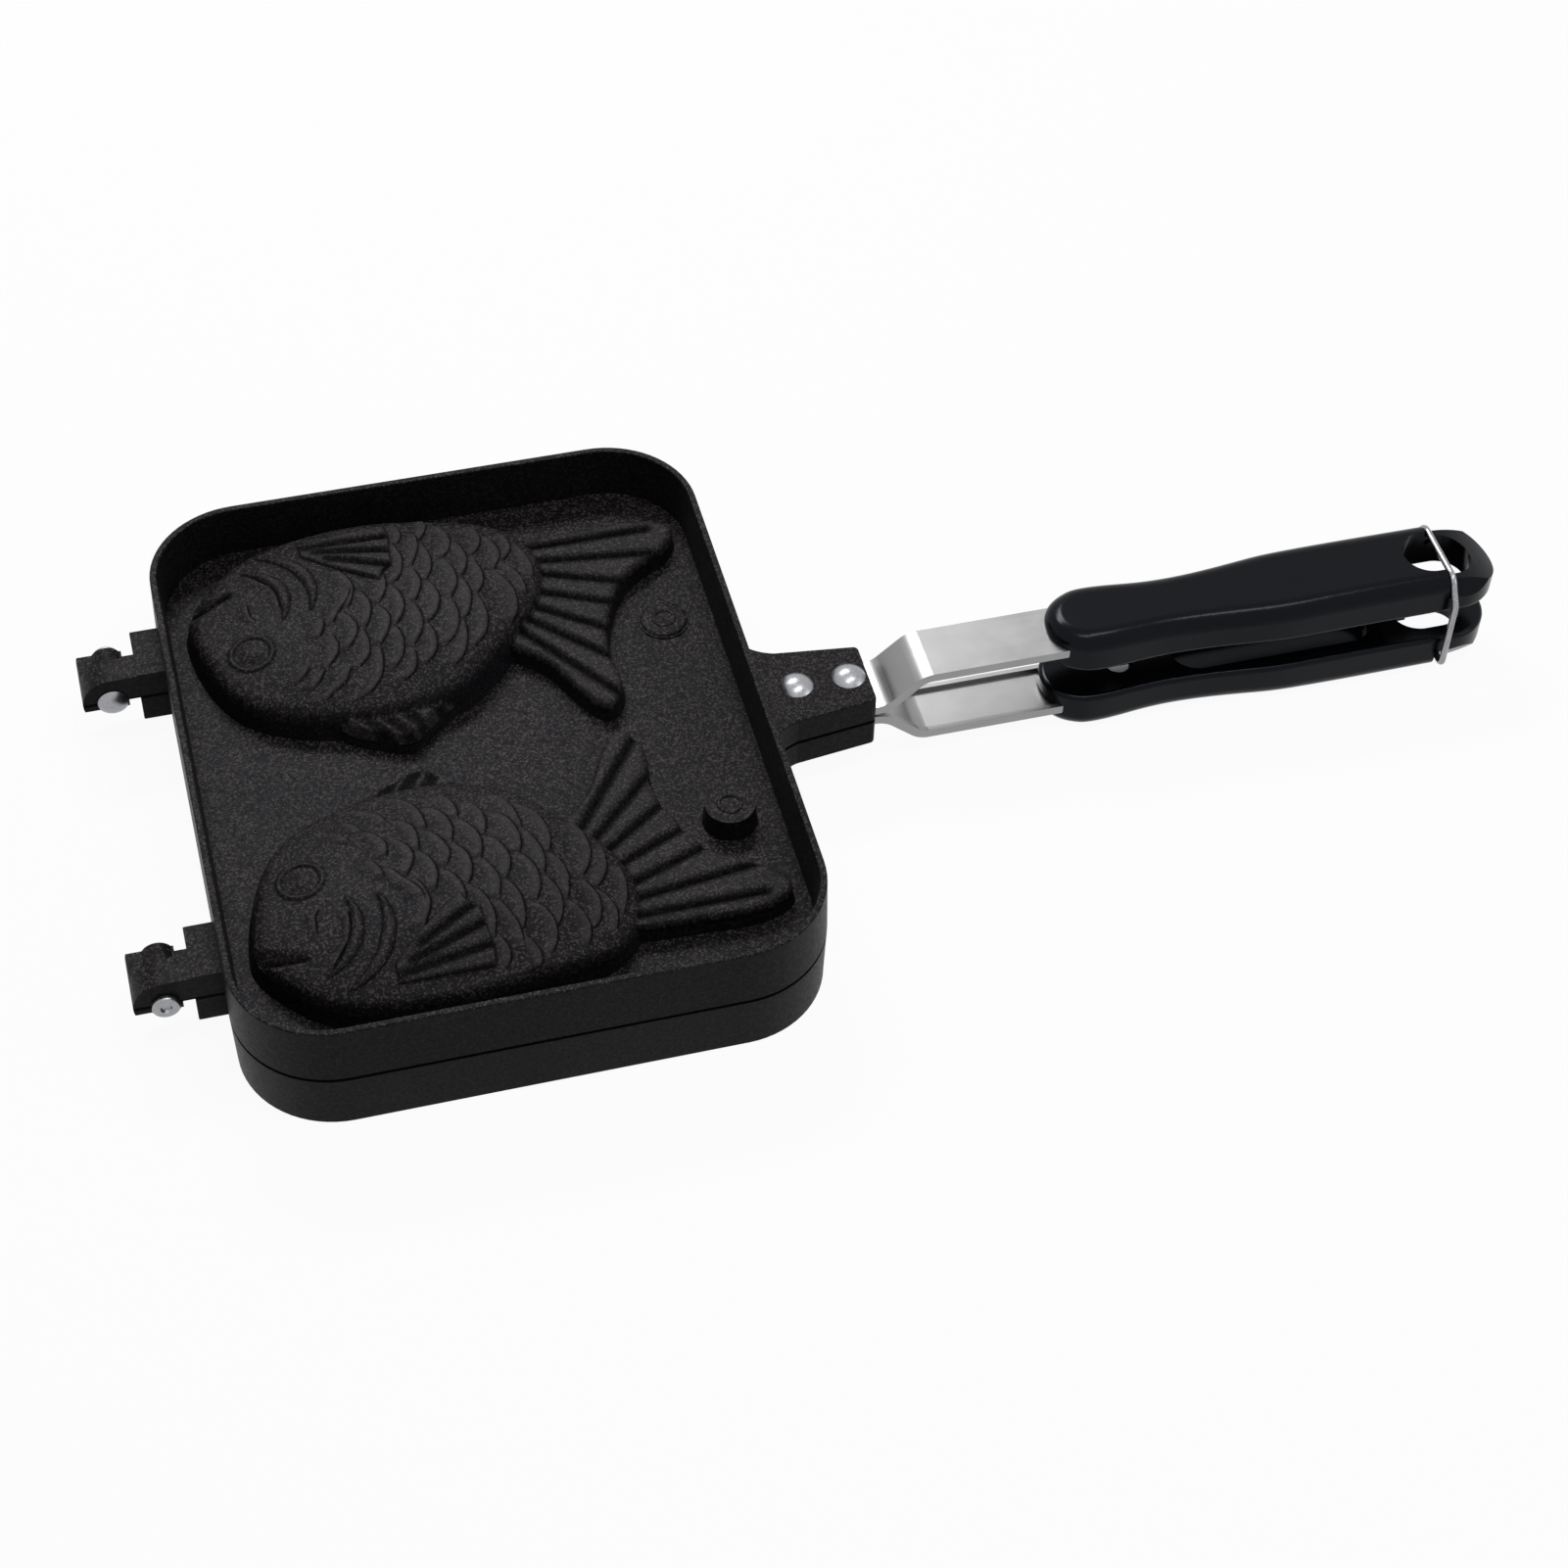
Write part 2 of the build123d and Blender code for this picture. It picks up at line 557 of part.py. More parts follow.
def grip_plan():
    """Outline seen from above: round front, waist, wide round rear end."""
    rear_centre = GRIP_END_X - GRIP_REAR_HALF
    front_side_x = GRIP_START_X + GRIP_NOSE_AT
    side = [
        (front_side_x, GRIP_FRONT_HALF - GRIP_NOSE_DROP),
        (front_side_x + GRIP_NOSE_RUN, GRIP_FRONT_HALF),
        (GRIP_START_X + GRIP_WAIST_AT, GRIP_WAIST_HALF),
        (GRIP_START_X + GRIP_SWELL_AT, (GRIP_WAIST_HALF + 2 * GRIP_REAR_HALF) / 3),
        (rear_centre, GRIP_REAR_HALF),
    ]
    far = Spline(*side, tangents=[(1, 0.35), (1, 0)])
    near = Spline(*[(x, -y) for x, y in side], tangents=[(1, -0.35), (1, 0)])
    rear = ThreePointArc((rear_centre, GRIP_REAR_HALF), (GRIP_END_X, 0), (rear_centre, -GRIP_REAR_HALF))
    front = Spline(
        side[0], (GRIP_START_X, 0), (front_side_x, GRIP_NOSE_DROP - GRIP_FRONT_HALF),
        tangents=[(-1, -0.35), (1, -0.35)],
    )
    return make_face([far, rear, near, front])


def grip_side():
    """Outline seen from the side: full at both ends, slimmer at the waist."""
    front, waist, rear = (GRIP_START_X + along for along in GRIP_CREST_AT)
    crest = Spline(
        (GRIP_START_X - 1, GRIP_FRONT_DEPTH - GRIP_END_DROP), (front, GRIP_FRONT_DEPTH),
        (waist, GRIP_WAIST_DEPTH), (rear, GRIP_REAR_DEPTH), (GRIP_END_X + 1, GRIP_REAR_DEPTH),
        tangents=[(1, 0.1), (1, 0)],
    )
    base = Polyline(crest @ 1, (GRIP_END_X + 1, 0), (GRIP_START_X - 1, 0), crest @ 0)
    return Plane.XZ * make_face([crest, base])


def swing_room():
    """Space that the grip's rear end must stay inside, so that the bail can swing past it."""
    pivot = BAIL_PIVOT_Z - PARTING_Z - INNER_FACE
    gap = WIRE_RADIUS + BAIL_SWING_CLEARANCE
    top = BAIL_TOP_Z - BAIL_PIVOT_Z - gap
    shoulder = BAIL_SHOULDER_Z - BAIL_PIVOT_Z - gap
    half = BAIL_HALF - gap
    contour = Polyline(
        (0, 0), (half, 0), (half, shoulder), (BAIL_TOP_HALF - gap / 2, top),
        (-BAIL_TOP_HALF + gap / 2, top), (-half, shoulder), (-half, 0), (0, 0),
    )
    disc = revolve(Plane.YZ * make_face(contour), Axis.Y)
    return Pos(BAIL_X, 0, pivot) * disc


def grip_blank():
    """Outer form of a grip, before its openings."""
    blank = extrude(grip_plan(), GRIP_FRONT_DEPTH + 2) & slab(grip_side(), GRIP_REAR_HALF + 5)
    shoulder = blank.edges().filter_by(lambda edge: edge.bounding_box().min.Z > GRIP_WAIST_DEPTH - 1)
    blank = fillet(shoulder, GRIP_SHOULDER)
    inner = blank.faces().sort_by(Axis.Z)[0].edges()
    return fillet(inner, GRIP_INNER_ROUND)


def grip():
    """One grip with its inner face on z = 0 and its back up."""
    body = grip_blank()
    seat_x = BAIL_X - WIRE_RADIUS - BAIL_SWING_CLEARANCE
    rear = Pos(seat_x, 0, 0) * Box(
        GRIP_END_X - seat_x + 5, 4 * GRIP_REAR_HALF, 4 * GRIP_REAR_DEPTH,
        align=(Align.MIN, Align.CENTER, Align.CENTER),
    )
    body = (body - rear) + (body & rear & swing_room())
    level = STRAP_GRIP_LEVEL - INNER_FACE
    socket = Pos(0, 0, level) * Box(
        STRAP_END_X + STRAP_CLEARANCE, STRAP_WIDTH + 2 * STRAP_CLEARANCE, STRAP_FLANGE,
        align=(Align.MIN, Align.CENTER, Align.MAX),
    )
    body -= socket
    recess = Pos((RECESS_START_X + RECESS_END_X) / 2, 0, 0) * SlotOverall(
        RECESS_END_X - RECESS_START_X, RECESS_WIDTH
    )
    body -= extrude(recess, RECESS_DEPTH, taper=2)
    eye = extrude(Pos(EYE_X, 0, 0) * SlotOverall(EYE_LENGTH, EYE_WIDTH), GRIP_REAR_DEPTH + 5)
    body -= eye
    pivot = PARTING_Z - INNER_FACE - BAIL_PIVOT_Z
    bore = Pos(BAIL_X, 0, pivot) * (Rot(90, 0, 0) * Cylinder(
        WIRE_RADIUS + BAIL_PIVOT_CLEARANCE, 4 * GRIP_REAR_HALF
    ))
    body -= bore
    head = Pos(SCREW_X, 0, 0) * Cylinder(
        SCREW_HEAD_RADIUS + STRAP_CLEARANCE, 2 * (level - STRAP_FLANGE - 1.0)
    )
    shank = Pos(SCREW_X, 0, 0) * Cylinder(SCREW_SHANK, 2 * (level + SCREW_REACH))
    return body - head - shank


def grip_screw():
    """Pan-head screw, with its head in the grip's counterbore and its shank through the strap."""
    level = STRAP_GRIP_LEVEL - INNER_FACE
    seat = level - STRAP_FLANGE - 1.0
    head = Pos(0, 0, seat) * Cylinder(
        SCREW_HEAD_RADIUS, SCREW_HEAD_HEIGHT, align=(Align.CENTER, Align.CENTER, Align.MAX)
    )
    head = fillet(head.faces().sort_by(Axis.Z)[0].edges(), SCREW_HEAD_HEIGHT / 3)
    shank = Pos(0, 0, seat) * Cylinder(
        SCREW_SHANK, level + SCREW_REACH - seat, align=(Align.CENTER, Align.CENTER, Align.MIN)
    )
    slot = Pos(0, 0, seat - SCREW_HEAD_HEIGHT) * Box(2 * SCREW_HEAD_RADIUS, 0.8, SCREW_HEAD_HEIGHT)
    return head + shank - slot


# ---------------------------------------------------------------- bail

def lock_bail():
    """Spring-wire bail: two stubs, two legs, sloped shoulders and a top bar."""
    half_path = [
        (BAIL_STUB_END, BAIL_PIVOT_Z), (BAIL_HALF, BAIL_PIVOT_Z), (BAIL_HALF, BAIL_SHOULDER_Z),
        (BAIL_TOP_HALF, BAIL_TOP_Z),
    ]
    points = half_path + [(-y, z) for y, z in reversed(half_path)]
    bends = [BAIL_BEND, BAIL_CORNER_BEND, BAIL_CORNER_BEND]
    path = Pos(BAIL_X, 0, 0) * (Plane.YZ * FilletPolyline(*points, radius=bends + bends[::-1]))
    section = Plane(origin=path @ 0, z_dir=path % 0) * Circle(WIRE_RADIUS)
    return sweep(section, path=path)


# ---------------------------------------------------------------- assembly

def build():
    nodes = {}
    half = mould_half()
    nodes["upper_mould"] = as_upper(half)
    nodes["lower_mould"] = as_lower(half)
    for name, side in (("far", 1), ("near", -1)):
        nodes[f"hinge_pin_{name}"] = Pos(HINGE_AXIS_X, side * LUG_MID_Y, PARTING_Z) * hinge_pin(-side)
    channel = strap()
    nodes["upper_strap"] = as_upper(channel)
    nodes["lower_strap"] = as_lower(channel)
    for name, x in zip(("front", "rear"), RIVET_X):
        nodes[f"upper_rivet_{name}"] = as_upper(Pos(x, 0, 0) * rivet())
        nodes[f"lower_rivet_{name}"] = as_lower(Pos(x, 0, 0) * rivet())
    handle = Pos(0, 0, INNER_FACE) * grip()
    nodes["upper_grip"] = as_upper(handle)
    nodes["lower_grip"] = as_lower(handle)
    screw = Pos(SCREW_X, 0, INNER_FACE) * grip_screw()
    nodes["upper_grip_screw"] = as_upper(screw)
    nodes["lower_grip_screw"] = as_lower(screw)
    nodes["lock_bail"] = lock_bail()
    return {name: place(part) for name, part in nodes.items()}


os.makedirs("parts", exist_ok=True)
for node_name, node_part in build().items():
    export_step(node_part, f"parts/{node_name}.step")
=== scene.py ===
"""Look of the double-sided taiyaki pan: materials, fish relief, floor, lights and camera, in the CAD frame."""

import math

import bpy
import numpy as np
from mathutils import Matrix, Vector
from mathutils.bvhtree import BVHTree
from mathutils.geometry import delaunay_2d_cdt


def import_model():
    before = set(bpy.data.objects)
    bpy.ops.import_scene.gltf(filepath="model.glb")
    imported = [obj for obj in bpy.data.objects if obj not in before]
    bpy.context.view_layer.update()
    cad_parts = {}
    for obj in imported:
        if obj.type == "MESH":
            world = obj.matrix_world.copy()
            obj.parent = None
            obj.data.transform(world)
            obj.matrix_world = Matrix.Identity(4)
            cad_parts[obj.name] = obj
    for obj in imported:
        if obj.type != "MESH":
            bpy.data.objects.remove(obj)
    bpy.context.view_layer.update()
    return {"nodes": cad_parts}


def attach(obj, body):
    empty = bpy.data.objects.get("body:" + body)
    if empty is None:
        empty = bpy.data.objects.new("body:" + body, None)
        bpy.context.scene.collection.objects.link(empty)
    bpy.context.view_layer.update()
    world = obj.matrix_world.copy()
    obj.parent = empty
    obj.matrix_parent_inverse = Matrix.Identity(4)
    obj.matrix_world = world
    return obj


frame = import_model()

MM = 0.001
MIDDLE_X = 77.1               # from the pan's centre to the frame's origin, as in the CAD
PARTING = 14.6                # mm above the floor
PLATE = 2.2                   # floor plate of a half, above the parting plane

nodes = frame["nodes"]


# ---------------------------------------------------------------- materials

def new_material(name):
    mat = bpy.data.materials.new(name)
    mat.use_nodes = True
    tree = mat.node_tree
    return mat, tree, tree.nodes["Principled BSDF"]


def add(tree, kind, inputs=None, **settings):
    """New node with its settings and the values of its inputs."""
    node = tree.nodes.new(kind)
    for key, value in settings.items():
        setattr(node, key, value)
    for key, value in (inputs or {}).items():
        node.inputs[key].default_value = value
    return node


def noise(tree, size_mm, detail=2.0, rough=0.5, stretch=(1, 1, 1)):
    """Noise in object space whose features are about size_mm across."""
    coords = add(tree, "ShaderNodeTexCoord")
    mapping = add(tree, "ShaderNodeMapping")
    mapping.inputs["Scale"].default_value = stretch
    tree.links.new(coords.outputs["Object"], mapping.inputs["Vector"])
    tex = add(tree, "ShaderNodeTexNoise", {
        "Scale": 1 / (size_mm * MM), "Detail": detail, "Roughness": rough,
    })
    tree.links.new(mapping.outputs["Vector"], tex.inputs["Vector"])
    return tex.outputs["Fac"]


def ramp(tree, source, stops):
    """Colour ramp over a value; stops are (position, colour)."""
    node = add(tree, "ShaderNodeValToRGB")
    elements = node.color_ramp.elements
    while len(elements) < len(stops):
        elements.new(0.5)
    for element, (position, colour) in zip(elements, stops):
        element.position = position
        element.color = (*colour, 1) if len(colour) == 3 else colour
    tree.links.new(source, node.inputs["Fac"])
    return node.outputs["Color"]


def remap(tree, source, low, high, to_low, to_high):
    node = add(tree, "ShaderNodeMapRange", {
        "From Min": low, "From Max": high, "To Min": to_low, "To Max": to_high,
    })
    tree.links.new(source, node.inputs["Value"])
    return node.outputs["Result"]


def math_node(tree, operation, a, b=None):
    node = add(tree, "ShaderNodeMath", operation=operation)
    for i, value in enumerate((a, b)):
        if value is None:
            continue
        if isinstance(value, (int, float)):
            node.inputs[i].default_value = value
        else:
            tree.links.new(value, node.inputs[i])
    return node.outputs[0]


def mix_colour(tree, factor, a, b, blend="MIX"):
    node = add(tree, "ShaderNodeMix", data_type="RGBA", blend_type=blend)
    for socket, value in ((node.inputs[0], factor), (node.inputs[6], a), (node.inputs[7], b)):
        if isinstance(value, (int, float)):
            socket.default_value = value
        elif isinstance(value, tuple):
            socket.default_value = (*value, 1)
        else:
            tree.links.new(value, socket)
    return node.outputs[2]


def bump(tree, bsdf, height, distance_mm, strength=1.0, after=None):
    node = add(tree, "ShaderNodeBump", {"Strength": strength, "Distance": distance_mm * MM})
    tree.links.new(height, node.inputs["Height"])
    if after is not None:
        tree.links.new(after, node.inputs["Normal"])
    if bsdf is not None:
        tree.links.new(node.outputs["Normal"], bsdf.inputs["Normal"])
    return node.outputs["Normal"]


FLAKE, GRAIN, CLOUD = 0.36, 0.9, 26.0      # sizes in the coating, in mm
SEAM_HALF, SEAM_FADE = 0.00040, 0.00052    # painted shade along the parting line, in metres from the parting plane


def coating():
    """Sprayed non-stick coating: charcoal with metallic flakes, smoother on walls, with painted shade in the
    relief's crease lines and along the parting line and painted highlight on the relief's crests.
    """
    mat, tree, bsdf = new_material("coating_charcoal")
    coords = add(tree, "ShaderNodeTexCoord")
    flake = add(tree, "ShaderNodeTexVoronoi", {"Scale": 1 / (FLAKE * MM)})
    tree.links.new(coords.outputs["Object"], flake.inputs["Vector"])
    chance = add(tree, "ShaderNodeSeparateColor")
    tree.links.new(flake.outputs["Color"], chance.inputs["Color"])
    facing = add(tree, "ShaderNodeSeparateXYZ")
    tree.links.new(coords.outputs["Normal"], facing.inputs["Vector"])
    level = remap(tree, math_node(tree, "ABSOLUTE", facing.outputs["Z"]), 0.25, 0.75, 0.2, 1.0)
    grain = noise(tree, GRAIN, 3.0, 0.62)
    cloud = noise(tree, CLOUD, 3.0, 0.55)
    base = ramp(tree, grain, [
        (0.34, (0.0028, 0.0026, 0.0032)), (0.52, (0.0060, 0.0055, 0.0066)), (0.68, (0.0112, 0.0103, 0.0115)),
    ])
    flecks = ramp(tree, chance.outputs["Red"], [(0.62, (0.0, 0.0, 0.0)), (0.97, (0.058, 0.049, 0.045))])
    flecks = mix_colour(tree, level, (0.0, 0.0, 0.0), flecks)
    tone = ramp(tree, cloud, [(0.30, (0.80, 0.80, 0.82)), (0.70, (1.16, 1.14, 1.12))])
    # Painted shade: crease lines of the relief turn near-black from a per-point tone.
    crease = add(tree, "ShaderNodeAttribute", attribute_name="painted_shade_tone")
    colour = mix_colour(tree, 1.0, base, flecks, "ADD")
    colour = mix_colour(tree, 1.0, colour, tone, "MULTIPLY")
    # Painted highlight: crests of the relief turn lighter from a per-point tone.
    highlight_node = add(tree, "ShaderNodeAttribute", attribute_name="painted_highlight_tone")
    colour = mix_colour(tree, highlight_node.outputs["Fac"], colour, (0.052, 0.047, 0.047))
    # Painted shade: a near-black band along the parting line on upright faces, by height in object space.
    place = add(tree, "ShaderNodeSeparateXYZ")
    tree.links.new(coords.outputs["Object"], place.inputs["Vector"])
    off = math_node(tree, "ABSOLUTE", math_node(tree, "SUBTRACT", place.outputs["Z"], PARTING * MM))
    seam_shade = remap(tree, off, SEAM_HALF, SEAM_FADE, 1.0, 0.0)
    upright = remap(tree, math_node(tree, "ABSOLUTE", facing.outputs["Z"]), 0.85, 0.95, 1.0, 0.0)
    # Painted shade of crease lines and parting line, also raising the roughness there.
    painted_shade = math_node(tree, "MAXIMUM", crease.outputs["Fac"], math_node(tree, "MULTIPLY", seam_shade, upright))
    colour = mix_colour(tree, painted_shade, colour, (0.0008, 0.0008, 0.0010))
    tree.links.new(colour, bsdf.inputs["Base Color"])
    rough = remap(tree, grain, 0.3, 0.7, 0.50, 0.38)
    rough = math_node(tree, "ADD", rough, math_node(tree, "MULTIPLY", painted_shade, 0.5))
    tree.links.new(rough, bsdf.inputs["Roughness"])
    bsdf.inputs["Specular IOR Level"].default_value = 0.06
    bsdf.inputs["Specular Tint"].default_value = (0.90, 0.93, 1.0, 1)
    fine = math_node(tree, "ADD", grain, math_node(tree, "MULTIPLY", chance.outputs["Green"], 0.35))
    bump(tree, bsdf, math_node(tree, "MULTIPLY", fine, level), 0.07, 0.6)
    return mat


def strap_steel():
    """Pressed stainless strip: bright, drawn along its length, with faint handling marks."""
    mat, tree, bsdf = new_material("steel_strap")
    drawn = noise(tree, 0.35, 3.0, 0.6, (0.06, 1.0, 1.0))
    smudge = noise(tree, 9.0, 3.0, 0.6)
    colour = ramp(tree, smudge, [(0.3, (0.275, 0.275, 0.28)), (0.7, (0.30, 0.30, 0.30))])
    tree.links.new(colour, bsdf.inputs["Base Color"])
    bsdf.inputs["Metallic"].default_value = 1.0
    rough = math_node(
        tree, "ADD", remap(tree, smudge, 0.3, 0.7, 0.27, 0.33), remap(tree, drawn, 0.3, 0.7, 0.0, 0.08)
    )
    tree.links.new(rough, bsdf.inputs["Roughness"])
    bump(tree, bsdf, drawn, 0.012, 0.5)
    return mat


def polished_rivet():
    mat, tree, bsdf = new_material("rivet_polished")
    marks = noise(tree, 0.5, 3.0, 0.6)
    colour = ramp(tree, marks, [(0.3, (0.27, 0.28, 0.30)), (0.7, (0.37, 0.37, 0.38))])
    tree.links.new(colour, bsdf.inputs["Base Color"])
    bsdf.inputs["Metallic"].default_value = 1.0
    tree.links.new(remap(tree, marks, 0.3, 0.7, 0.26, 0.36), bsdf.inputs["Roughness"])
    bump(tree, bsdf, marks, 0.02, 0.35)
    return mat


def grip_plastic():
    """Glossy black phenolic moulding with very slight waves and fine dust-sized pores."""
    mat, tree, bsdf = new_material("phenolic_black")
    wave = noise(tree, 14.0, 2.0, 0.5)
    pores = noise(tree, 0.5, 2.0, 0.6)
    colour = ramp(tree, wave, [(0.3, (0.0012, 0.0013, 0.0020)), (0.7, (0.0020, 0.0022, 0.0032))])
    tree.links.new(colour, bsdf.inputs["Base Color"])
    tree.links.new(remap(tree, pores, 0.3, 0.7, 0.17, 0.22), bsdf.inputs["Roughness"])
    bsdf.inputs["Specular IOR Level"].default_value = 0.12
    bsdf.inputs["Specular Tint"].default_value = (0.80, 0.88, 1.0, 1)
    first = bump(tree, None, wave, 0.25, 0.25)
    bump(tree, bsdf, pores, 0.004, 0.25, after=first)
    return mat


def spring_wire():
    mat, tree, bsdf = new_material("wire_bright")
    drawn = noise(tree, 0.3, 2.0, 0.5, (1.0, 1.0, 0.08))
    colour = ramp(tree, drawn, [(0.3, (0.24, 0.24, 0.25)), (0.7, (0.36, 0.36, 0.37))])
    tree.links.new(colour, bsdf.inputs["Base Color"])
    bsdf.inputs["Metallic"].default_value = 1.0
    tree.links.new(remap(tree, drawn, 0.3, 0.7, 0.18, 0.30), bsdf.inputs["Roughness"])
    return mat


finish = {
    "coated_casting": coating(),
    "strap_steel": strap_steel(),
    "rivet_metal": polished_rivet(),
    "grip_plastic": grip_plastic(),
    "wire_steel": spring_wire(),
}


def finish_of(node):
    if "mould" in node:
        return "coated_casting"
    if "strap" in node:
        return "strap_steel"
    if "grip" in node and "screw" not in node:
        return "grip_plastic"
    if "bail" in node:
        return "wire_steel"
    return "rivet_metal"


for name, obj in nodes.items():
    mat = finish[finish_of(name)]
    if not obj.material_slots:
        obj.data.materials.append(mat)
    for item in obj.material_slots:
        item.material = mat


# ---------------------------------------------------------------- fish relief, in mm on the pan's own centre

BODY = [
    (-56.6, 47.0), (-54.8, 34.5), (-47.0, 19.8), (-32.0, 12.2), (-14.0, 10.2), (2.0, 14.8), (13.0, 25.5),
    (22.5, 38.0), (25.0, 52.0), (20.0, 62.3), (5.0, 68.2), (-12.0, 71.0), (-28.0, 70.2), (-42.0, 66.0),
    (-52.0, 57.0),
]
TAIL = [
    (8.0, 40.0), (11.8, 27.0), (18.5, 20.6), (24.6, 9.2), (30.6, 3.2), (34.5, 7.6), (34.4, 18.0),
    (37.0, 31.5), (44.5, 43.0), (54.6, 49.8), (56.6, 55.0), (50.5, 59.3), (38.0, 59.7), (25.0, 59.2),
    (12.0, 55.0),
]
FIN = [
    (-30.0, 16.0), (-26.6, 10.0), (-18.5, 5.4), (-13.6, 3.8), (-8.2, 7.6), (0.0, 14.0), (5.6, 18.6),
    (4.6, 23.6), (-4.0, 24.0), (-18.0, 20.0),
]
EYE = (-43.3, 33.4)

# free edges of the scales, seen from above: along the pan, outward from its long axis
SCALES = [
    [(-14, 38.8), (-12.5, 35.5), (-12.9, 32.8), (-14.1, 30.1), (-16.1, 27.4)],
    [(-16.1, 27.4), (-15.9, 25.1), (-16.4, 21.6), (-17.5, 18.9), (-20.2, 16.2), (-24.5, 14.5)],
    [(-10.6, 44.6), (-9.2, 42), (-8.7, 38.5), (-9.3, 35.8), (-11.5, 32.3)],
    [(-11.6, 32.4), (-10.8, 29.3), (-10.8, 27), (-11.6, 23.9), (-14.1, 20.7)],
    [(-6.6, 38.3), (-5.8, 35.5), (-5.6, 32.8), (-6.3, 29.8), (-9, 25.5)],
    [(-9, 25.5), (-8.8, 22.8), (-9.7, 19.7), (-11, 18.3), (-14, 17)],
    [(-5, 49.6), (-4.2, 46.5), (-3.9, 44), (-5, 40.7), (-6.6, 38)],
    [(-2.6, 44.5), (-1.2, 41.8), (-0.7, 39), (-1.2, 36.6), (-2.5, 33.9), (-4.7, 31.8)],
    [(-4.7, 31.8), (-4, 30), (-3.6, 28), (-3.9, 25), (-5.2, 22.4), (-7.8, 20.4)],
    [(2.2, 51.4), (3.8, 48), (4.2, 44.9), (3.6, 41.7), (1.6, 38.2)],
    [(1.6, 38.2), (2.4, 35.2), (2.3, 31.6), (0.9, 27.8), (-1, 25.8), (-3, 24.9)],
    [(5.3, 44.7), (6.1, 42), (6.4, 39.5), (5.9, 36.6), (4.8, 33.5), (3.4, 31.6)],
    [(3.4, 31.6), (3.4, 28.9), (2.8, 25.1), (1.3, 21.6), (-1.3, 19.1)],
    [(8.8, 51.5), (9.9, 47.6), (10.2, 44.5), (9.4, 41.6), (7.6, 38.7)],
    [(7.6, 38.6), (8.6, 35.5), (8.7, 32), (7.6, 27.8), (5.9, 25.5), (3.6, 23.3)],
    [(12.9, 46.3), (14.7, 43.4), (16.1, 40), (16.3, 37), (15.6, 33.5), (13.5, 30)],
    [(15.1, 49.3), (17.2, 46.8), (18.6, 43.8), (19, 41), (18.8, 38.5)],
    [(19.5, 56), (21.3, 51.5), (21.8, 47.5), (21.3, 43.5)],
    [(12, 59.5), (14.2, 57.2), (15.2, 54), (15.1, 51), (12.9, 46.5)],
    [(17, 60), (18.1, 57), (18.2, 54.5), (17.3, 52), (15.2, 49.3)],
    [(10.6, 63), (11.8, 60), (11.8, 57), (10.7, 54), (8.8, 51.5)],
    [(5, 58.5), (6.8, 55.3), (7.6, 51.8), (7, 48), (5.3, 44.7)],
    [(2.6, 64.3), (4.2, 61.8), (5, 59.2), (4.9, 56.5), (4, 53.8), (2.2, 51.5)],
    [(-2, 58.2), (-0.8, 55.3), (-0.4, 52.6), (-0.5, 49.5), (-1.4, 46.8), (-2.6, 44.5)],
    [(-2, 66.8), (0.2, 66), (0.7, 64.3), (0.1, 61.8), (-2, 58.3)],
    [(-2.3, 60.8), (-2.3, 57), (-3.5, 53), (-5.1, 49.6)],
    [(-8, 59.2), (-7.2, 56.5), (-6.6, 53.4), (-7.2, 49.5), (-8.3, 46.8), (-10.3, 44.9)],
    [(-7, 66), (-5.6, 63.8), (-5.5, 61), (-6.9, 58)],
    [(-11.6, 48.8), (-11.5, 45.3), (-12.4, 42.2), (-14.1, 39.5)],
    [(-17.4, 44.5), (-16.1, 41), (-16.1, 38), (-17, 35.2), (-18.5, 33)],
    [(-21.2, 52.8), (-19.7, 49.9), (-18.8, 47.2), (-18.9, 44.9), (-19.7, 42.2), (-21, 39.9)],
    [(-22.6, 39.3), (-20.8, 36.8), (-19.9, 34), (-20.6, 31.2), (-23.4, 27.8)],
    [(-18.6, 33), (-18.1, 29), (-18.8, 25.5), (-22, 22.3)],
    [(-25.5, 33), (-24.8, 30), (-25.4, 27.4), (-28.2, 24.3)],
    [(-23.1, 23.5), (-24.8, 20.1), (-27.9, 18), (-30.2, 16.2), (-33.3, 16)],
    [(-28.5, 24.5), (-30, 22), (-32, 19.8)],
    [(-31.5, 26.5), (-33, 24), (-35.3, 22.2)],
    [(-26.8, 38.5), (-27, 36), (-28.6, 32.6)],
    [(-19.5, 46), (-20.5, 43), (-23, 39.5), (-25.2, 36)],
]
# small folds of the gill cover and the cheek
FOLDS = [
    [(-41, 57.5), (-37.5, 53), (-36, 51), (-35.5, 47), (-35.5, 44)],
    [(-42.4, 48.5), (-42.1, 44), (-41, 42)],
]


def closed_curve(points, step):
    """Smooth closed curve through points, sampled about every step."""
    pts = np.array(points, float)
    count = len(pts)
    gaps = np.linalg.norm(np.roll(pts, -1, 0) - pts, axis=1)
    system = np.zeros((count, count))
    right = np.zeros((count, 2))
    for i in range(count):
        before, after = gaps[i - 1], gaps[i]
        system[i, i - 1] += after
        system[i, i] += 2 * (before + after)
        system[i, (i + 1) % count] += before
        right[i] = 3 * (
            after * (pts[i] - pts[i - 1]) / before + before * (pts[(i + 1) % count] - pts[i]) / after
        )
    slope = np.linalg.solve(system, right)
    out = []
    for i in range(count):
        j = (i + 1) % count
        steps = max(2, round(gaps[i] / step))
        u = np.arange(steps)[:, None] / steps
        h = gaps[i]
        out.append(
            (2 * u**3 - 3 * u**2 + 1) * pts[i] + (u**3 - 2 * u**2 + u) * h * slope[i]
            + (3 * u**2 - 2 * u**3) * pts[j] + (u**3 - u**2) * h * slope[j]
        )
    return np.vstack(out)


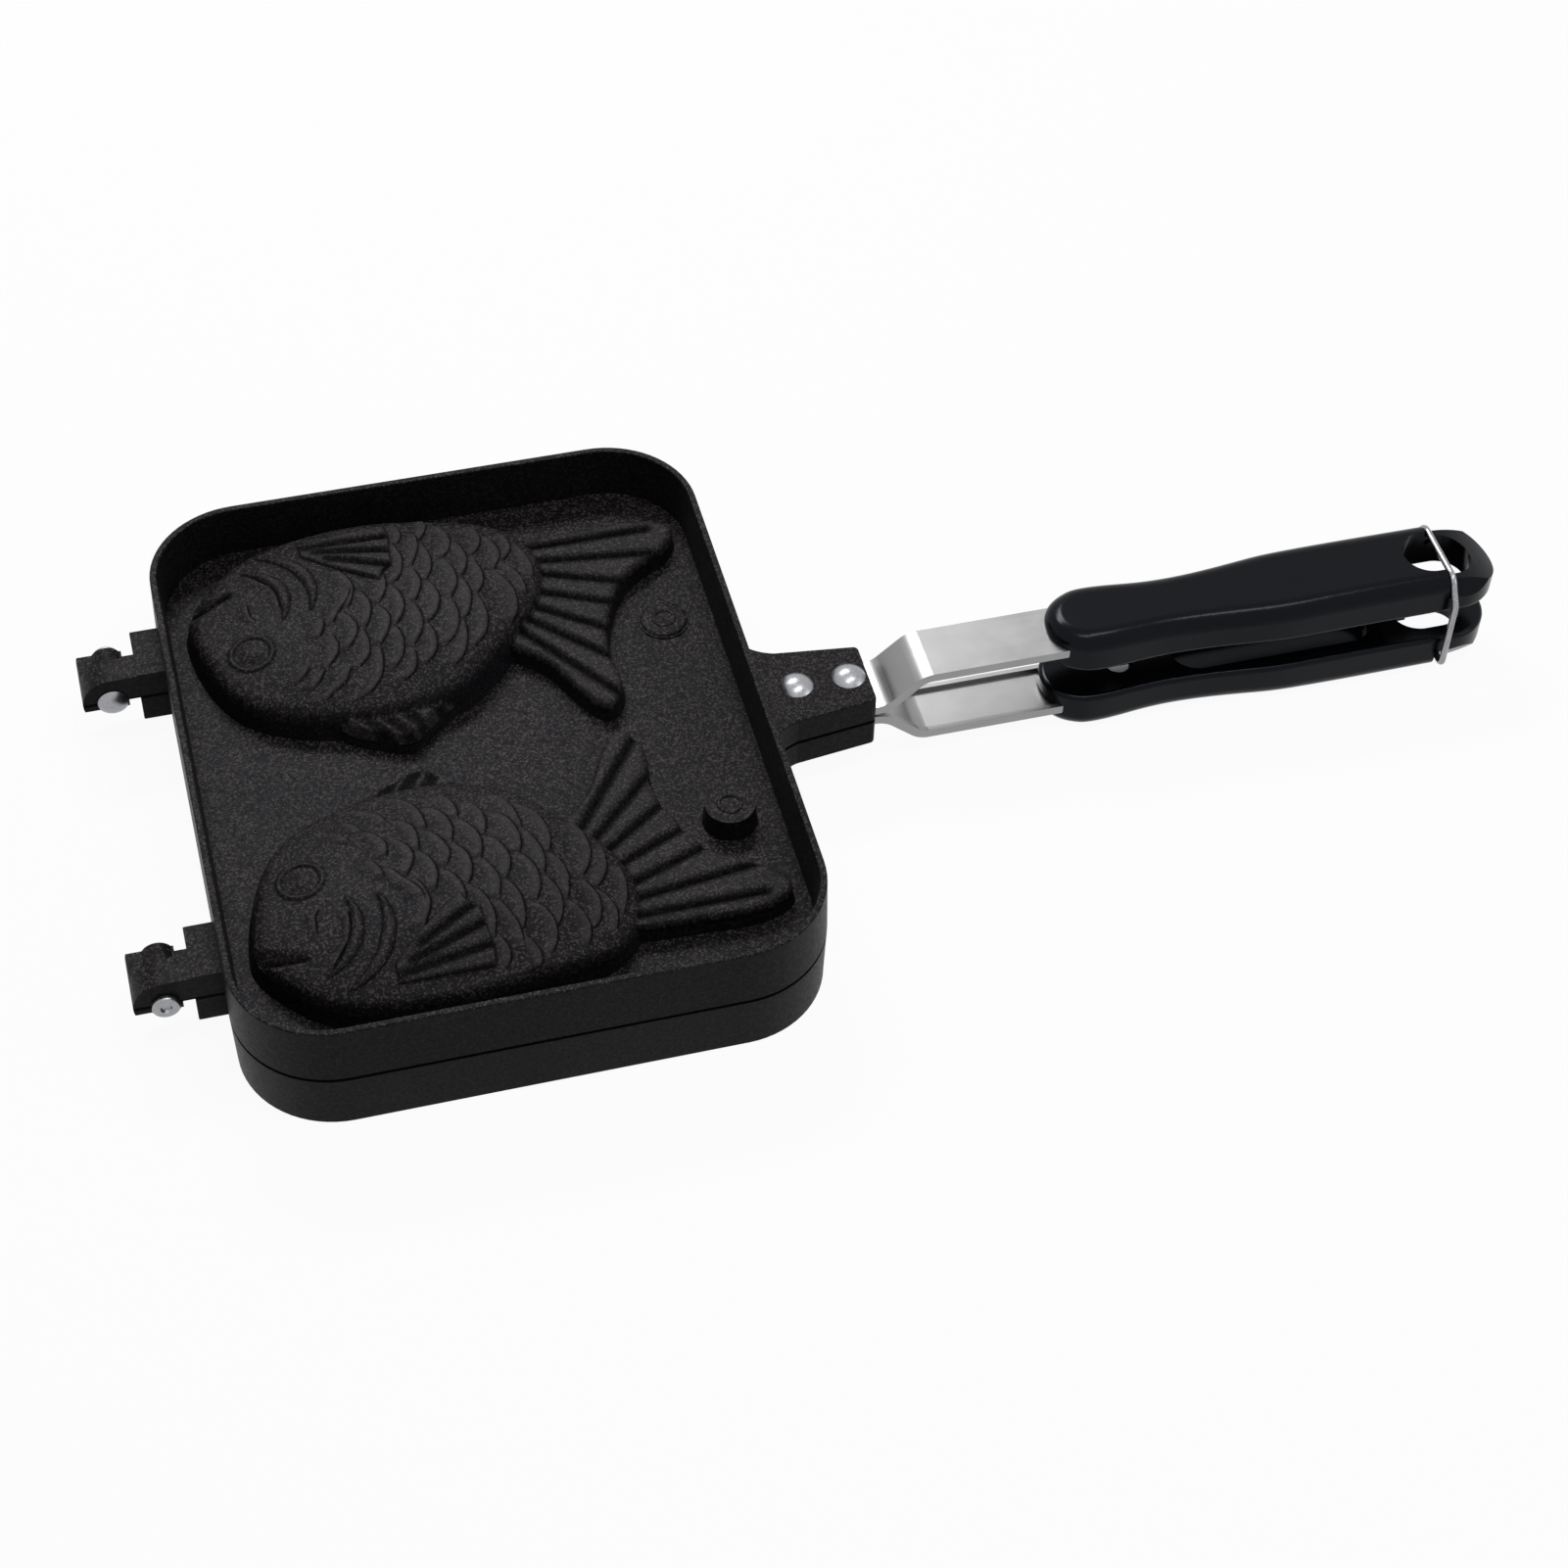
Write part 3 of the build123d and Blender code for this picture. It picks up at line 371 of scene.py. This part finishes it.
def shrunk(loop, distance):
    """The loop moved inward."""
    ahead, behind = np.roll(loop, -1, 0), np.roll(loop, 1, 0)
    along = ahead - behind
    along /= np.linalg.norm(along, axis=1)[:, None]
    area = np.sum(loop[:, 0] * ahead[:, 1] - ahead[:, 0] * loop[:, 1])
    normal = np.stack([-along[:, 1], along[:, 0]], 1) * np.sign(area)
    return loop + normal * distance


def open_curve(points, step):
    """Smooth open curve through points."""
    pts = np.array(points, float)
    gaps = np.linalg.norm(np.diff(pts, axis=0), axis=1)
    slope = np.empty_like(pts)
    slope[1:-1] = (pts[2:] - pts[:-2]) / (gaps[1:] + gaps[:-1])[:, None]
    slope[0], slope[-1] = (pts[1] - pts[0]) / gaps[0], (pts[-1] - pts[-2]) / gaps[-1]
    out = []
    for i, h in enumerate(gaps):
        steps = max(2, round(h / step))
        u = np.arange(steps)[:, None] / steps
        out.append(
            (2 * u**3 - 3 * u**2 + 1) * pts[i] + (u**3 - 2 * u**2 + u) * h * slope[i]
            + (3 * u**2 - 2 * u**3) * pts[i + 1] + (u**3 - u**2) * h * slope[i + 1]
        )
    out.append(pts[-1:])
    return np.vstack(out)


def inside(points, loop):
    """Which points lie inside a closed loop."""
    x, y = points[:, 0], points[:, 1]
    hit = np.zeros(len(points), bool)
    for (ax, ay), (bx, by) in zip(loop, np.roll(loop, -1, 0)):
        if ay == by:
            continue
        crosses = (ay > y) != (by > y)
        hit ^= crosses & (x < (bx - ax) * (y - ay) / (by - ay) + ax)
    return hit


def distance_to(points, line, closed=False):
    """Distance from each point to a run of segments."""
    ends = np.roll(line, -1, 0) if closed else line[1:]
    starts = line if closed else line[:-1]
    best = np.full(len(points), 1e9)
    for a, b in zip(starts, ends):
        ab = b - a
        length = max(float(ab @ ab), 1e-12)
        u = np.clip(((points - a) @ ab) / length, 0, 1)
        gap = points - (a + u[:, None] * ab)
        best = np.minimum(best, np.hypot(gap[:, 0], gap[:, 1]))
    return best


def smooth(value, low, high):
    u = np.clip((value - low) / (high - low), 0, 1)
    return u * u * (3 - 2 * u)


def edge_gap(points, arc):
    """How far each point lies to the left of an arc, and inside the arc's span across the pan."""
    order = np.argsort(arc[:, 1])
    ys, xs = arc[order, 1], arc[order, 0]
    y = points[:, 1]
    return np.interp(y, ys, xs) - points[:, 0], np.minimum(y - ys[0], ys[-1] - y)


def overlaps(points, edges, step, reach):
    """Sawtooth relief: each edge is the free edge of a plate that rises towards it from the left."""
    height = np.zeros(len(points))
    nearest = np.full(len(points), 1e9)
    for arc in edges:
        gap, end = edge_gap(points, arc)
        here = (end >= 0) & (gap >= -0.02) & (gap < nearest)
        rise = step * (1 - smooth(gap, 0, reach)) * smooth(end, -0.4, 1.4)
        height[here] = rise[here]
        nearest[here] = gap[here]
    return height


# the CAD's raised forms and the grooves between its rays, which the relief's rows follow
PECTORAL = [
    (-28.2, 64.4), (-8.8, 64.8), (-8.3, 60.4), (-8.9, 56.8), (-9.3, 51.0), (-11.6, 49.2), (-12.6, 46.9),
    (-21.0, 53.2), (-28.0, 60.0),
]
PECTORAL_GROOVES = [
    ((-27.6, 62.9), (-7.0, 60.5)), ((-25.0, 60.4), (-7.4, 54.9)), ((-22.6, 57.0), (-8.4, 49.5)),
]
TAIL_GROOVES = [
    ((19.0, 55.7), (50.5, 55.5)), ((19.0, 51.7), (50.0, 47.7)), ((19.0, 48.7), (41.5, 40.2)),
    ((18.0, 43.3), (38.0, 34.2)), ((16.0, 40.2), (36.0, 25.8)), ((14.0, 37.8), (34.5, 17.3)),
    ((12.0, 35.7), (33.4, 6.4)),
]
FIN_GROOVES = [
    ((-25.5, 16.0), (-17.6, 4.8)), ((-21.0, 16.0), (-13.4, 4.6)), ((-16.0, 16.0), (-9.6, 5.6)),
    ((-10.6, 17.0), (-4.4, 9.4)), ((-5.0, 18.0), (0.8, 12.6)),
]
# gill crescents: two ends, then the middle of the outer and of the inner edge
GILLS = [
    ((-38.0, 63.2), (-28.6, 42.0), (-27.1, 53.2), (-29.8, 53.4)),
    ((-41.5, 58.9), (-35.0, 41.0), (-33.1, 50.4), (-35.6, 50.4)),
]
MOUTH = ((-60.0, 49.2), (-45.2, 53.4))
SCALE_STEP = 0.5              # height of a scale's free edge
GROOVE_HALF = 0.75            # half the width of a groove between rays
FIN_WEB_HEIGHT = 5.4          # over the floor plate
FIN_WEB_SLOPE = 4.5           # rise of the web's outer side
FIN_ROOT = 24.0               # the web ends here, under the body
IMPRINT_DEPTH = 0.45          # of the scales in the cooking cavity
EDGE_CLEARANCE = 0.02         # the skins stay this far inside the pan's resting faces


def straight(points, step, closed=False):
    """Points about every step along straight runs."""
    pts = np.array(points, float)
    ends = np.roll(pts, -1, 0) if closed else pts[1:]
    out = []
    for a, b in zip(pts, ends):
        steps = max(1, round(float(np.linalg.norm(b - a)) / step))
        out.append(a + (b - a) * (np.arange(steps) / steps)[:, None])
    if not closed:
        out.append(pts[-1:])
    return np.vstack(out)


def arc_through(first, middle, last, step):
    """Points along the circular arc through three points."""
    a, b, c = (np.array(p, float) for p in (first, middle, last))
    system = np.array([b - a, c - a]) * 2
    centre = np.linalg.solve(system, [b @ b - a @ a, c @ c - a @ a])
    angles = [math.atan2(*(p - centre)[::-1]) for p in (a, b, c)]
    turn = (angles[2] - angles[0]) % math.tau
    if (angles[1] - angles[0]) % math.tau > turn:
        turn -= math.tau
    radius = float(np.linalg.norm(a - centre))
    steps = max(4, round(abs(turn) * radius / step))
    at = angles[0] + turn * np.arange(steps + 1) / steps
    return centre + radius * np.stack([np.cos(at), np.sin(at)], 1)


def crescent(gill, step=0.5):
    first, last, outer, inner = gill
    return np.vstack([
        arc_through(first, outer, last, step)[:-1], arc_through(last, inner, first, step)[:-1],
    ])


arcs = [open_curve(arc, 0.5) for arc in SCALES]
folds = [open_curve(fold, 0.5) for fold in FOLDS]
gills = [crescent(gill) for gill in GILLS]
body_loop = closed_curve(BODY, 0.5)
tail_loop = closed_curve(TAIL, 0.5)
fin_loop = closed_curve(FIN, 0.5)
pectoral_loop = straight(PECTORAL, 0.5, closed=True)


def from_eye(points):
    return np.hypot(points[:, 0] - EYE[0], points[:, 1] - EYE[1])


def signed_depth(points, loop):
    """Distance to a closed loop, positive inside it."""
    return distance_to(points, loop, True) * np.where(inside(points, loop), 1, -1)


def lobes(points, grooves):
    """1 on the crest of each ray and 0 along the grooves between them."""
    gap = np.full(len(points), 1e9)
    for line in grooves:
        gap = np.minimum(gap, distance_to(points, np.array(line)))
    return smooth(gap, 0.35, 1.9)


def zones(points):
    """Which points lie on the pectoral fin, the tail and the dorsal fin."""
    on_body = inside(points, shrunk(body_loop, 1.5))
    on_pectoral = smooth(signed_depth(points, pectoral_loop), -0.15, 0.1)
    on_tail = inside(points, shrunk(tail_loop, 0.8)) & ~on_body
    on_fin = inside(points, shrunk(fin_loop, 0.6)) & ~inside(points, shrunk(body_loop, 0.7))
    return on_body, on_pectoral, on_tail, on_fin


def detail(points):
    """Height of the fine relief over the CAD form at points, in mm."""
    on_body, pectoral, on_tail, on_fin = zones(points)
    height = overlaps(points, arcs, SCALE_STEP, 5.0) * (1 - pectoral) + overlaps(points, folds, 0.4, 2.4)
    height += 0.22 * pectoral * lobes(points, PECTORAL_GROOVES)
    for gill in gills:
        height += 0.35 * smooth(distance_to(points, gill, True) * inside(points, gill), 0.0, 0.9)
    height = np.where(on_body, height, 0)
    height = np.where(on_tail, 0.3 * lobes(points, TAIL_GROOVES), height)
    return np.where(on_fin, 0.25 * lobes(points, FIN_GROOVES), height)


def imprint(points):
    """Depth of the same relief inside the cavity, from 0 to 1."""
    on_body, pectoral, on_tail, on_fin = zones(points)
    depth = 0.7 * overlaps(points, arcs, 1.0, 5.0) * (1 - pectoral)
    depth = depth + 0.7 * overlaps(points, folds, 1.0, 2.4)
    depth += pectoral * (0.35 + 0.65 * lobes(points, PECTORAL_GROOVES))
    for gill in gills:
        depth += 0.9 * smooth(distance_to(points, gill, True) * inside(points, gill), 0.0, 0.5)
    eye = from_eye(points)
    ring = smooth(eye, 5.2, 4.9) * smooth(eye, 3.9, 4.2)
    depth = np.where(eye < 5.4, ring + np.clip(1.1 - (eye / 3.8) ** 2, 0, 1), depth)
    depth = np.where(on_body, depth, 0)
    depth = np.where(on_tail, lobes(points, TAIL_GROOVES), depth)
    depth = np.where(on_fin, lobes(points, FIN_GROOVES), depth)
    return np.clip(depth, 0, 1)


def painted_crest_light(points):
    """Painted highlight on the crests of the relief, from 0 to 1."""
    on_body, pectoral, on_tail, on_fin = zones(points)
    light = 0.5 * overlaps(points, arcs, 1.0, 3.2) * (1 - pectoral) + 0.4 * overlaps(points, folds, 1.0, 1.8)
    light += 0.22 * pectoral * lobes(points, PECTORAL_GROOVES) ** 2
    for gill in gills:
        light += 0.25 * smooth(distance_to(points, gill, True) * inside(points, gill), 0.2, 1.2)
    eye = from_eye(points)
    light += 0.3 * np.clip(1 - np.abs(eye - 4.5) / 0.5, 0, 1)
    light = np.where(on_body, light, 0)
    light = np.where(on_tail, 0.16 * lobes(points, TAIL_GROOVES) ** 3, light)
    return np.clip(np.where(on_fin, 0.16 * lobes(points, FIN_GROOVES) ** 3, light), 0, 1)


def crease_shade(points):
    """Painted shade at each point, strongest in the crease lines of the relief, from 0 to 1."""
    on_body, pectoral, on_tail, on_fin = zones(points)
    shade_amount = np.zeros(len(points))
    for arc in arcs + folds:
        gap, end = edge_gap(points, arc)
        here = (end > 0) & (-gap > 0.08)
        shade_amount = np.maximum(shade_amount, here * (1 - smooth(-gap, 0.24, 0.8)) * smooth(end, 0, 1.0))
    shade_amount *= 1 - pectoral
    for loop in [pectoral_loop, *gills]:
        gap = distance_to(points, loop, True)
        shade_amount = np.maximum(shade_amount, ~inside(points, loop) * (1 - smooth(gap, 0.15, 0.8)) * 0.85)
    shade_amount = np.maximum(shade_amount, pectoral * (1 - lobes(points, PECTORAL_GROOVES)) * 0.8)
    eye = from_eye(points)
    shade_amount = np.maximum(shade_amount, 0.8 * np.clip(1 - np.abs(eye - 5.2) / 0.4, 0, 1))
    shade_amount = np.maximum(shade_amount, 0.9 * np.clip(1 - np.abs(eye - 3.95) / 0.35, 0, 1))
    shade_amount = np.maximum(shade_amount, 0.9 * (1 - smooth(distance_to(points, np.array(MOUTH)), 0.3, 1.0)))
    shade_amount = np.where(on_body, shade_amount, 0)
    shade_amount = np.where(on_tail, 0.85 * (1 - lobes(points, TAIL_GROOVES)), shade_amount)
    return np.where(on_fin, 0.8 * (1 - lobes(points, FIN_GROOVES)), shade_amount)


def relief_domain(grid, insets):
    """Points and triangles that cover one fish in plan, with close rows along every step."""
    loops, edge = [], []
    for loop, steps in zip((body_loop, tail_loop, fin_loop), insets):
        edge.append(shrunk(loop, steps[0]))
        loops += [shrunk(loop, distance) for distance in steps]
    rows = []
    for arc in arcs + folds:
        low = arc.copy()
        low[:, 0] += 0.22
        rows += [arc, low]
    for loop in [pectoral_loop, *gills]:
        rows += [shrunk(loop, 0.1), shrunk(loop, -0.12), shrunk(loop, 0.5)]
    for line in TAIL_GROOVES + FIN_GROOVES + PECTORAL_GROOVES + [MOUTH]:
        a, b = np.array(line[0]), np.array(line[1])
        across = np.array([a[1] - b[1], b[0] - a[0]]) / np.linalg.norm(b - a)
        rows += [straight([a + across * w, b + across * w], 0.6) for w in (-GROOVE_HALF, 0, GROOVE_HALF)]
    for radius in (0.9, 1.8, 2.7, 3.5, 3.8, 4.05, 4.2, 4.55, 4.9, 5.12):
        turn = np.linspace(0, math.tau, max(10, round(radius * 12)), endpoint=False)
        rows.append(np.stack([EYE[0] + radius * np.cos(turn), EYE[1] + radius * np.sin(turn)], 1))
    fixed = np.vstack(loops + rows)
    row_step = grid * math.sqrt(3) / 2
    lines = []
    for j, y in enumerate(np.arange(1.0, 73.0, row_step)):
        x = np.arange(-58.0, 58.0, grid) + (grid / 2 if j % 2 else 0)
        lines.append(np.stack([x, np.full(len(x), y)], 1))
    field = np.vstack(lines)
    taken = {}
    for p in fixed:
        taken.setdefault((int(p[0] // 0.5), int(p[1] // 0.5)), []).append(p)
    free = []
    for p in field:
        cx, cy = int(p[0] // 0.5), int(p[1] // 0.5)
        close = any(
            (q[0] - p[0]) ** 2 + (q[1] - p[1]) ** 2 < (0.55 * grid) ** 2
            for ix in (-1, 0, 1) for iy in (-1, 0, 1) for q in taken.get((cx + ix, cy + iy), ())
        )
        if not close:
            free.append(p)
    points = np.vstack([fixed, np.array(free)])
    keep = np.zeros(len(points), bool)
    for loop in edge:
        keep |= inside(points, shrunk(loop, -0.02))
    points = points[keep]
    _, first = np.unique(np.round(points / 0.06), axis=0, return_index=True)
    points = points[np.sort(first)]
    verts, _, faces, _, _, _ = delaunay_2d_cdt([Vector(p) for p in points], [], [], 0, 1e-4)
    verts = np.array([tuple(v) for v in verts])
    faces = np.array([f for f in faces if len(f) == 3])
    middle = verts[faces].mean(1)
    good = np.zeros(len(faces), bool)
    for loop in edge:
        good |= inside(middle, loop)
    return verts, faces[good]


def mesh_object(name, verts, faces, mat):
    mesh = bpy.data.meshes.new(name)
    mesh.from_pydata([tuple(v) for v in verts], [], [tuple(int(i) for i in f) for f in faces])
    mesh.materials.append(mat)
    mesh.validate()
    mesh.shade_smooth()
    obj = bpy.data.objects.new(name, mesh)
    bpy.context.scene.collection.objects.link(obj)
    return obj


def bvh_of(node):
    mesh = nodes[node].data
    verts = [v.co.copy() for v in mesh.vertices]
    return BVHTree.FromPolygons(verts, [tuple(p.vertices) for p in mesh.polygons])


def cast_on(tree, points, side, start, way):
    """Where the relief's points land on a mould: places and outward normals, in metres."""
    places, normals = [], []
    for x, y in points:
        origin = Vector(((x - MIDDLE_X) * MM, side * y * MM, start))
        hit, normal, _, _ = tree.ray_cast(origin, Vector((0, 0, way)))
        places.append(tuple(hit) if hit else (np.nan,) * 3)
        normals.append(tuple(normal) if hit else (0, 0, 1))
    return np.array(places), np.array(normals)


def relief(name, points, faces, places, normals, lift, tones, flip, body):
    """Thin relief layer that lies off the casting by lift, in mm, with its painted shade and painted highlight
    tones.
    """
    missed = np.isnan(places[:, 2])
    verts = np.where(missed[:, None], 0, places + normals * lift[:, None] * MM)
    verts[:, 2] = np.clip(verts[:, 2], EDGE_CLEARANCE * MM, (2 * PARTING - EDGE_CLEARANCE) * MM)
    faces = faces[~missed[faces].any(1)]
    obj = mesh_object(name, verts, faces[:, ::-1] if flip else faces, finish["coated_casting"])
    # Per-point tones of painted shade and painted highlight for the coating.
    if len(obj.data.vertices) == len(points):
        for label, values in zip(("painted_shade_tone", "painted_highlight_tone"), tones):
            tone = obj.data.attributes.new(label, "FLOAT", "POINT")
            tone.data.foreach_set("value", np.asarray(values, dtype=np.float32))
    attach(obj, body)


def fin_height(points):
    """Height over the floor plate of the dorsal fin's thick web, which stands higher than the casting's."""
    depth = signed_depth(points, fin_loop)
    web = np.minimum(FIN_WEB_HEIGHT, 1.2 + (depth - 0.75) * FIN_WEB_SLOPE)
    web -= 0.7 * (1 - lobes(points, FIN_GROOVES)) * (depth > 1.6)
    return np.where((depth > 0.75) & (points[:, 1] < FIN_ROOT), web, -1)


def add_relief():
    """Skins over both outer fish and in both cooking cavities of each half."""
    # rows of points at these distances inside the outlines of body, tail and fin
    outer = relief_domain(0.5, ((0.9, 1.5, 2.1, 2.8, 3.6, 4.6), (0.8, 1.15, 1.6, 2.2), (0.7, 1.0, 1.4)))
    inner = relief_domain(0.55, ((1.6, 2.2, 3.0, 3.8, 4.6), (1.6, 2.2, 2.7, 3.3), (1.6, 2.1, 2.7)))
    # Painted shade and painted highlight tones; weaker in the cavities.
    outer_detail, outer_tones = detail(outer[0]), (crease_shade(outer[0]), painted_crest_light(outer[0]))
    inner_depth, inner_tones = imprint(inner[0]), (crease_shade(inner[0]) * 0.6, painted_crest_light(inner[0]) * 0.3)
    fin = fin_height(outer[0])
    for word, up in (("upper", 1), ("lower", -1)):
        tree = bvh_of(f"{word}_mould")
        for place, side in (("far", 1), ("near", -1)):
            points, faces = outer
            places, normals = cast_on(tree, points, side, (PARTING + up * 40) * MM, -up)
            height = (places[:, 2] / MM - PARTING) * up - PLATE
            lift = -0.12 + 0.26 * smooth(height, 0.9, 2.3) + outer_detail * smooth(height, 1.6, 2.8)
            raised = np.where(fin > height, fin, height)
            places[:, 2] += (raised - height) * up * MM
            normals = np.where((fin > height)[:, None], np.array([0.0, 0.0, up]), normals)
            name, flip = f"{word}_relief_{place}", side * up < 0
            relief(name, points, faces, places, normals, lift, outer_tones, flip, word)
            points, faces = inner
            places, normals = cast_on(tree, points, side, (PARTING + up * 0.01) * MM, up)
            height = (places[:, 2] / MM - PARTING) * up
            lift = -0.1 + (0.62 - IMPRINT_DEPTH * inner_depth) * smooth(height, 0.3, 1.8)
            name, flip = f"{word}_imprint_{place}", side * up > 0
            relief(name, points, faces, places, normals, lift, inner_tones, flip, word)


add_relief()


# ---------------------------------------------------------------- casting marks

RING = [(1.95, -0.15), (2.0, 0.2), (2.15, 0.3), (2.6, 0.3), (2.75, 0.2), (2.8, -0.15)]
CAP = [(0.01, 0.5), (4.6, 0.5), (5.0, 0.44), (5.25, 0.3), (5.4, -0.15)]
PIN_MARK = [(1.75, -0.15), (1.8, 0.08), (1.95, 0.16), (2.2, 0.16), (2.35, 0.08), (2.4, -0.15)]


def collar(name, centre, profile, word, up, turns=56):
    """Collar or cap lathed on a mould's outer side; profile is (radius, height over it) in mm."""
    hit, _ = cast_on(bvh_of(f"{word}_mould"), [centre], 1, (PARTING + up * 40) * MM, -up)
    verts, faces = [], []
    for i in range(turns):
        turn = math.tau * i / turns
        for radius, height in profile:
            verts.append((
                hit[0][0] + radius * MM * math.cos(turn), hit[0][1] + radius * MM * math.sin(turn),
                hit[0][2] + up * height * MM,
            ))
    rows = len(profile)
    for i in range(turns):
        j = (i + 1) % turns
        for k in range(rows - 1):
            quad = (i * rows + k, i * rows + k + 1, j * rows + k + 1, j * rows + k)
            faces.append(quad if up < 0 else quad[::-1])
    obj = mesh_object(f"{word}_{name}", verts, faces, finish["coated_casting"])
    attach(obj, word)


for word, up in (("upper", 1), ("lower", -1)):
    collar("boss_ring", (48.6, -30.6), RING, word, up)
    collar("disc_cap", (48.6, 30.6), CAP, word, up)
    collar("disc_ring", (48.6, 30.6), [(radius, height + 0.42) for radius, height in RING], word, up)
    collar("pin_mark_tail", (49.1, 66.9), PIN_MARK, word, up)
    collar("pin_mark_head", (-51.5, 65.1), PIN_MARK, word, up)


# ---------------------------------------------------------------- floor, lights, camera

FLOOR_HALF = 4.0              # metres
FLOOR_GLOW = 0.94             # share of plain white that the camera sees in the floor
WORLD_LIGHT = (0.14, 0.14, 0.145)


def floor():
    mesh = bpy.data.meshes.new("studio_floor")
    corners = [(-1, -1), (1, -1), (1, 1), (-1, 1)]
    mesh.from_pydata([(x * FLOOR_HALF, y * FLOOR_HALF, 0) for x, y in corners], [], [(0, 1, 2, 3)])
    obj = bpy.data.objects.new("studio_floor", mesh)
    bpy.context.scene.collection.objects.link(obj)
    mat, tree, bsdf = new_material("floor_pale")
    bsdf.inputs["Base Color"].default_value = (0.88, 0.88, 0.88, 1)
    bsdf.inputs["Roughness"].default_value = 0.9
    bsdf.inputs["Specular IOR Level"].default_value = 0.1
    path = add(tree, "ShaderNodeLightPath")
    seen = math_node(tree, "MAXIMUM", path.outputs["Is Camera Ray"], path.outputs["Is Glossy Ray"])
    seen = math_node(tree, "MAXIMUM", seen, path.outputs["Is Transmission Ray"])
    share = math_node(tree, "MULTIPLY", seen, FLOOR_GLOW)
    glow = add(tree, "ShaderNodeEmission", {"Color": (1, 1, 1, 1), "Strength": 1.0})
    mix = add(tree, "ShaderNodeMixShader")
    tree.links.new(share, mix.inputs[0])
    tree.links.new(bsdf.outputs[0], mix.inputs[1])
    tree.links.new(glow.outputs[0], mix.inputs[2])
    tree.links.new(mix.outputs[0], tree.nodes["Material Output"].inputs["Surface"])
    mesh.materials.append(mat)


def world():
    scene_world = bpy.data.worlds.new("studio")
    scene_world.use_nodes = True
    bpy.context.scene.world = scene_world
    tree = scene_world.node_tree
    back = tree.nodes["Background"]
    path = add(tree, "ShaderNodeLightPath")
    seen = math_node(tree, "MAXIMUM", path.outputs["Is Camera Ray"], path.outputs["Is Glossy Ray"])
    seen = math_node(tree, "MAXIMUM", seen, path.outputs["Is Transmission Ray"])
    colour = mix_colour(tree, seen, WORLD_LIGHT, (1.0, 1.0, 1.0))
    tree.links.new(colour, back.inputs["Color"])
    back.inputs["Strength"].default_value = 1.0


def softbox(name, place, target, size, power, colour=(1, 1, 1)):
    light = bpy.data.lights.new(name, "AREA")
    light.shape = "RECTANGLE"
    light.size, light.size_y = size
    light.energy = power
    light.color = colour
    obj = bpy.data.objects.new(name, light)
    bpy.context.scene.collection.objects.link(obj)
    obj.location = place
    obj.rotation_euler = (Vector(target) - Vector(place)).to_track_quat("-Z", "Y").to_euler()
    return obj


def camera():
    """The photograph's view, found from the pan's edges in it."""
    azimuth, elevation, roll = (math.radians(v) for v in (-16.156, 48.368, 1.918))
    target = Vector((62.0 - MIDDLE_X, -24.97, 18.6)) * MM
    back = Vector((
        math.sin(azimuth) * math.cos(elevation), -math.cos(azimuth) * math.cos(elevation), math.sin(elevation)
    ))
    across = Vector((0, 0, 1)).cross(back).normalized()
    upward = back.cross(across)
    right = across * math.cos(roll) + upward * math.sin(roll)
    top = upward * math.cos(roll) - across * math.sin(roll)
    cam = bpy.data.cameras.new("camera")
    cam.sensor_width = 36.0
    cam.lens = 36.0 * 3342.115 / 1601
    obj = bpy.data.objects.new("camera", cam)
    bpy.context.scene.collection.objects.link(obj)
    turn = Matrix((right, top, back)).transposed().to_4x4()
    obj.matrix_world = Matrix.Translation(target + back * 0.7039) @ turn
    bpy.context.scene.camera = obj


floor()
world()
softbox("key_rear", (-0.10, 0.62, 0.75), (0.0, 0.0, 0.0), (0.50, 0.14), 4.4)
softbox("top", (0.10, -0.22, 0.95), (0.0, 0.0, 0.0), (0.70, 0.12), 3.2)
softbox("side_cool", (0.75, -0.45, 0.45), (0.0, 0.0, 0.0), (0.4, 0.3), 1.0, (0.84, 0.91, 1.0))
camera()
bpy.context.scene.view_settings.view_transform = "Standard"
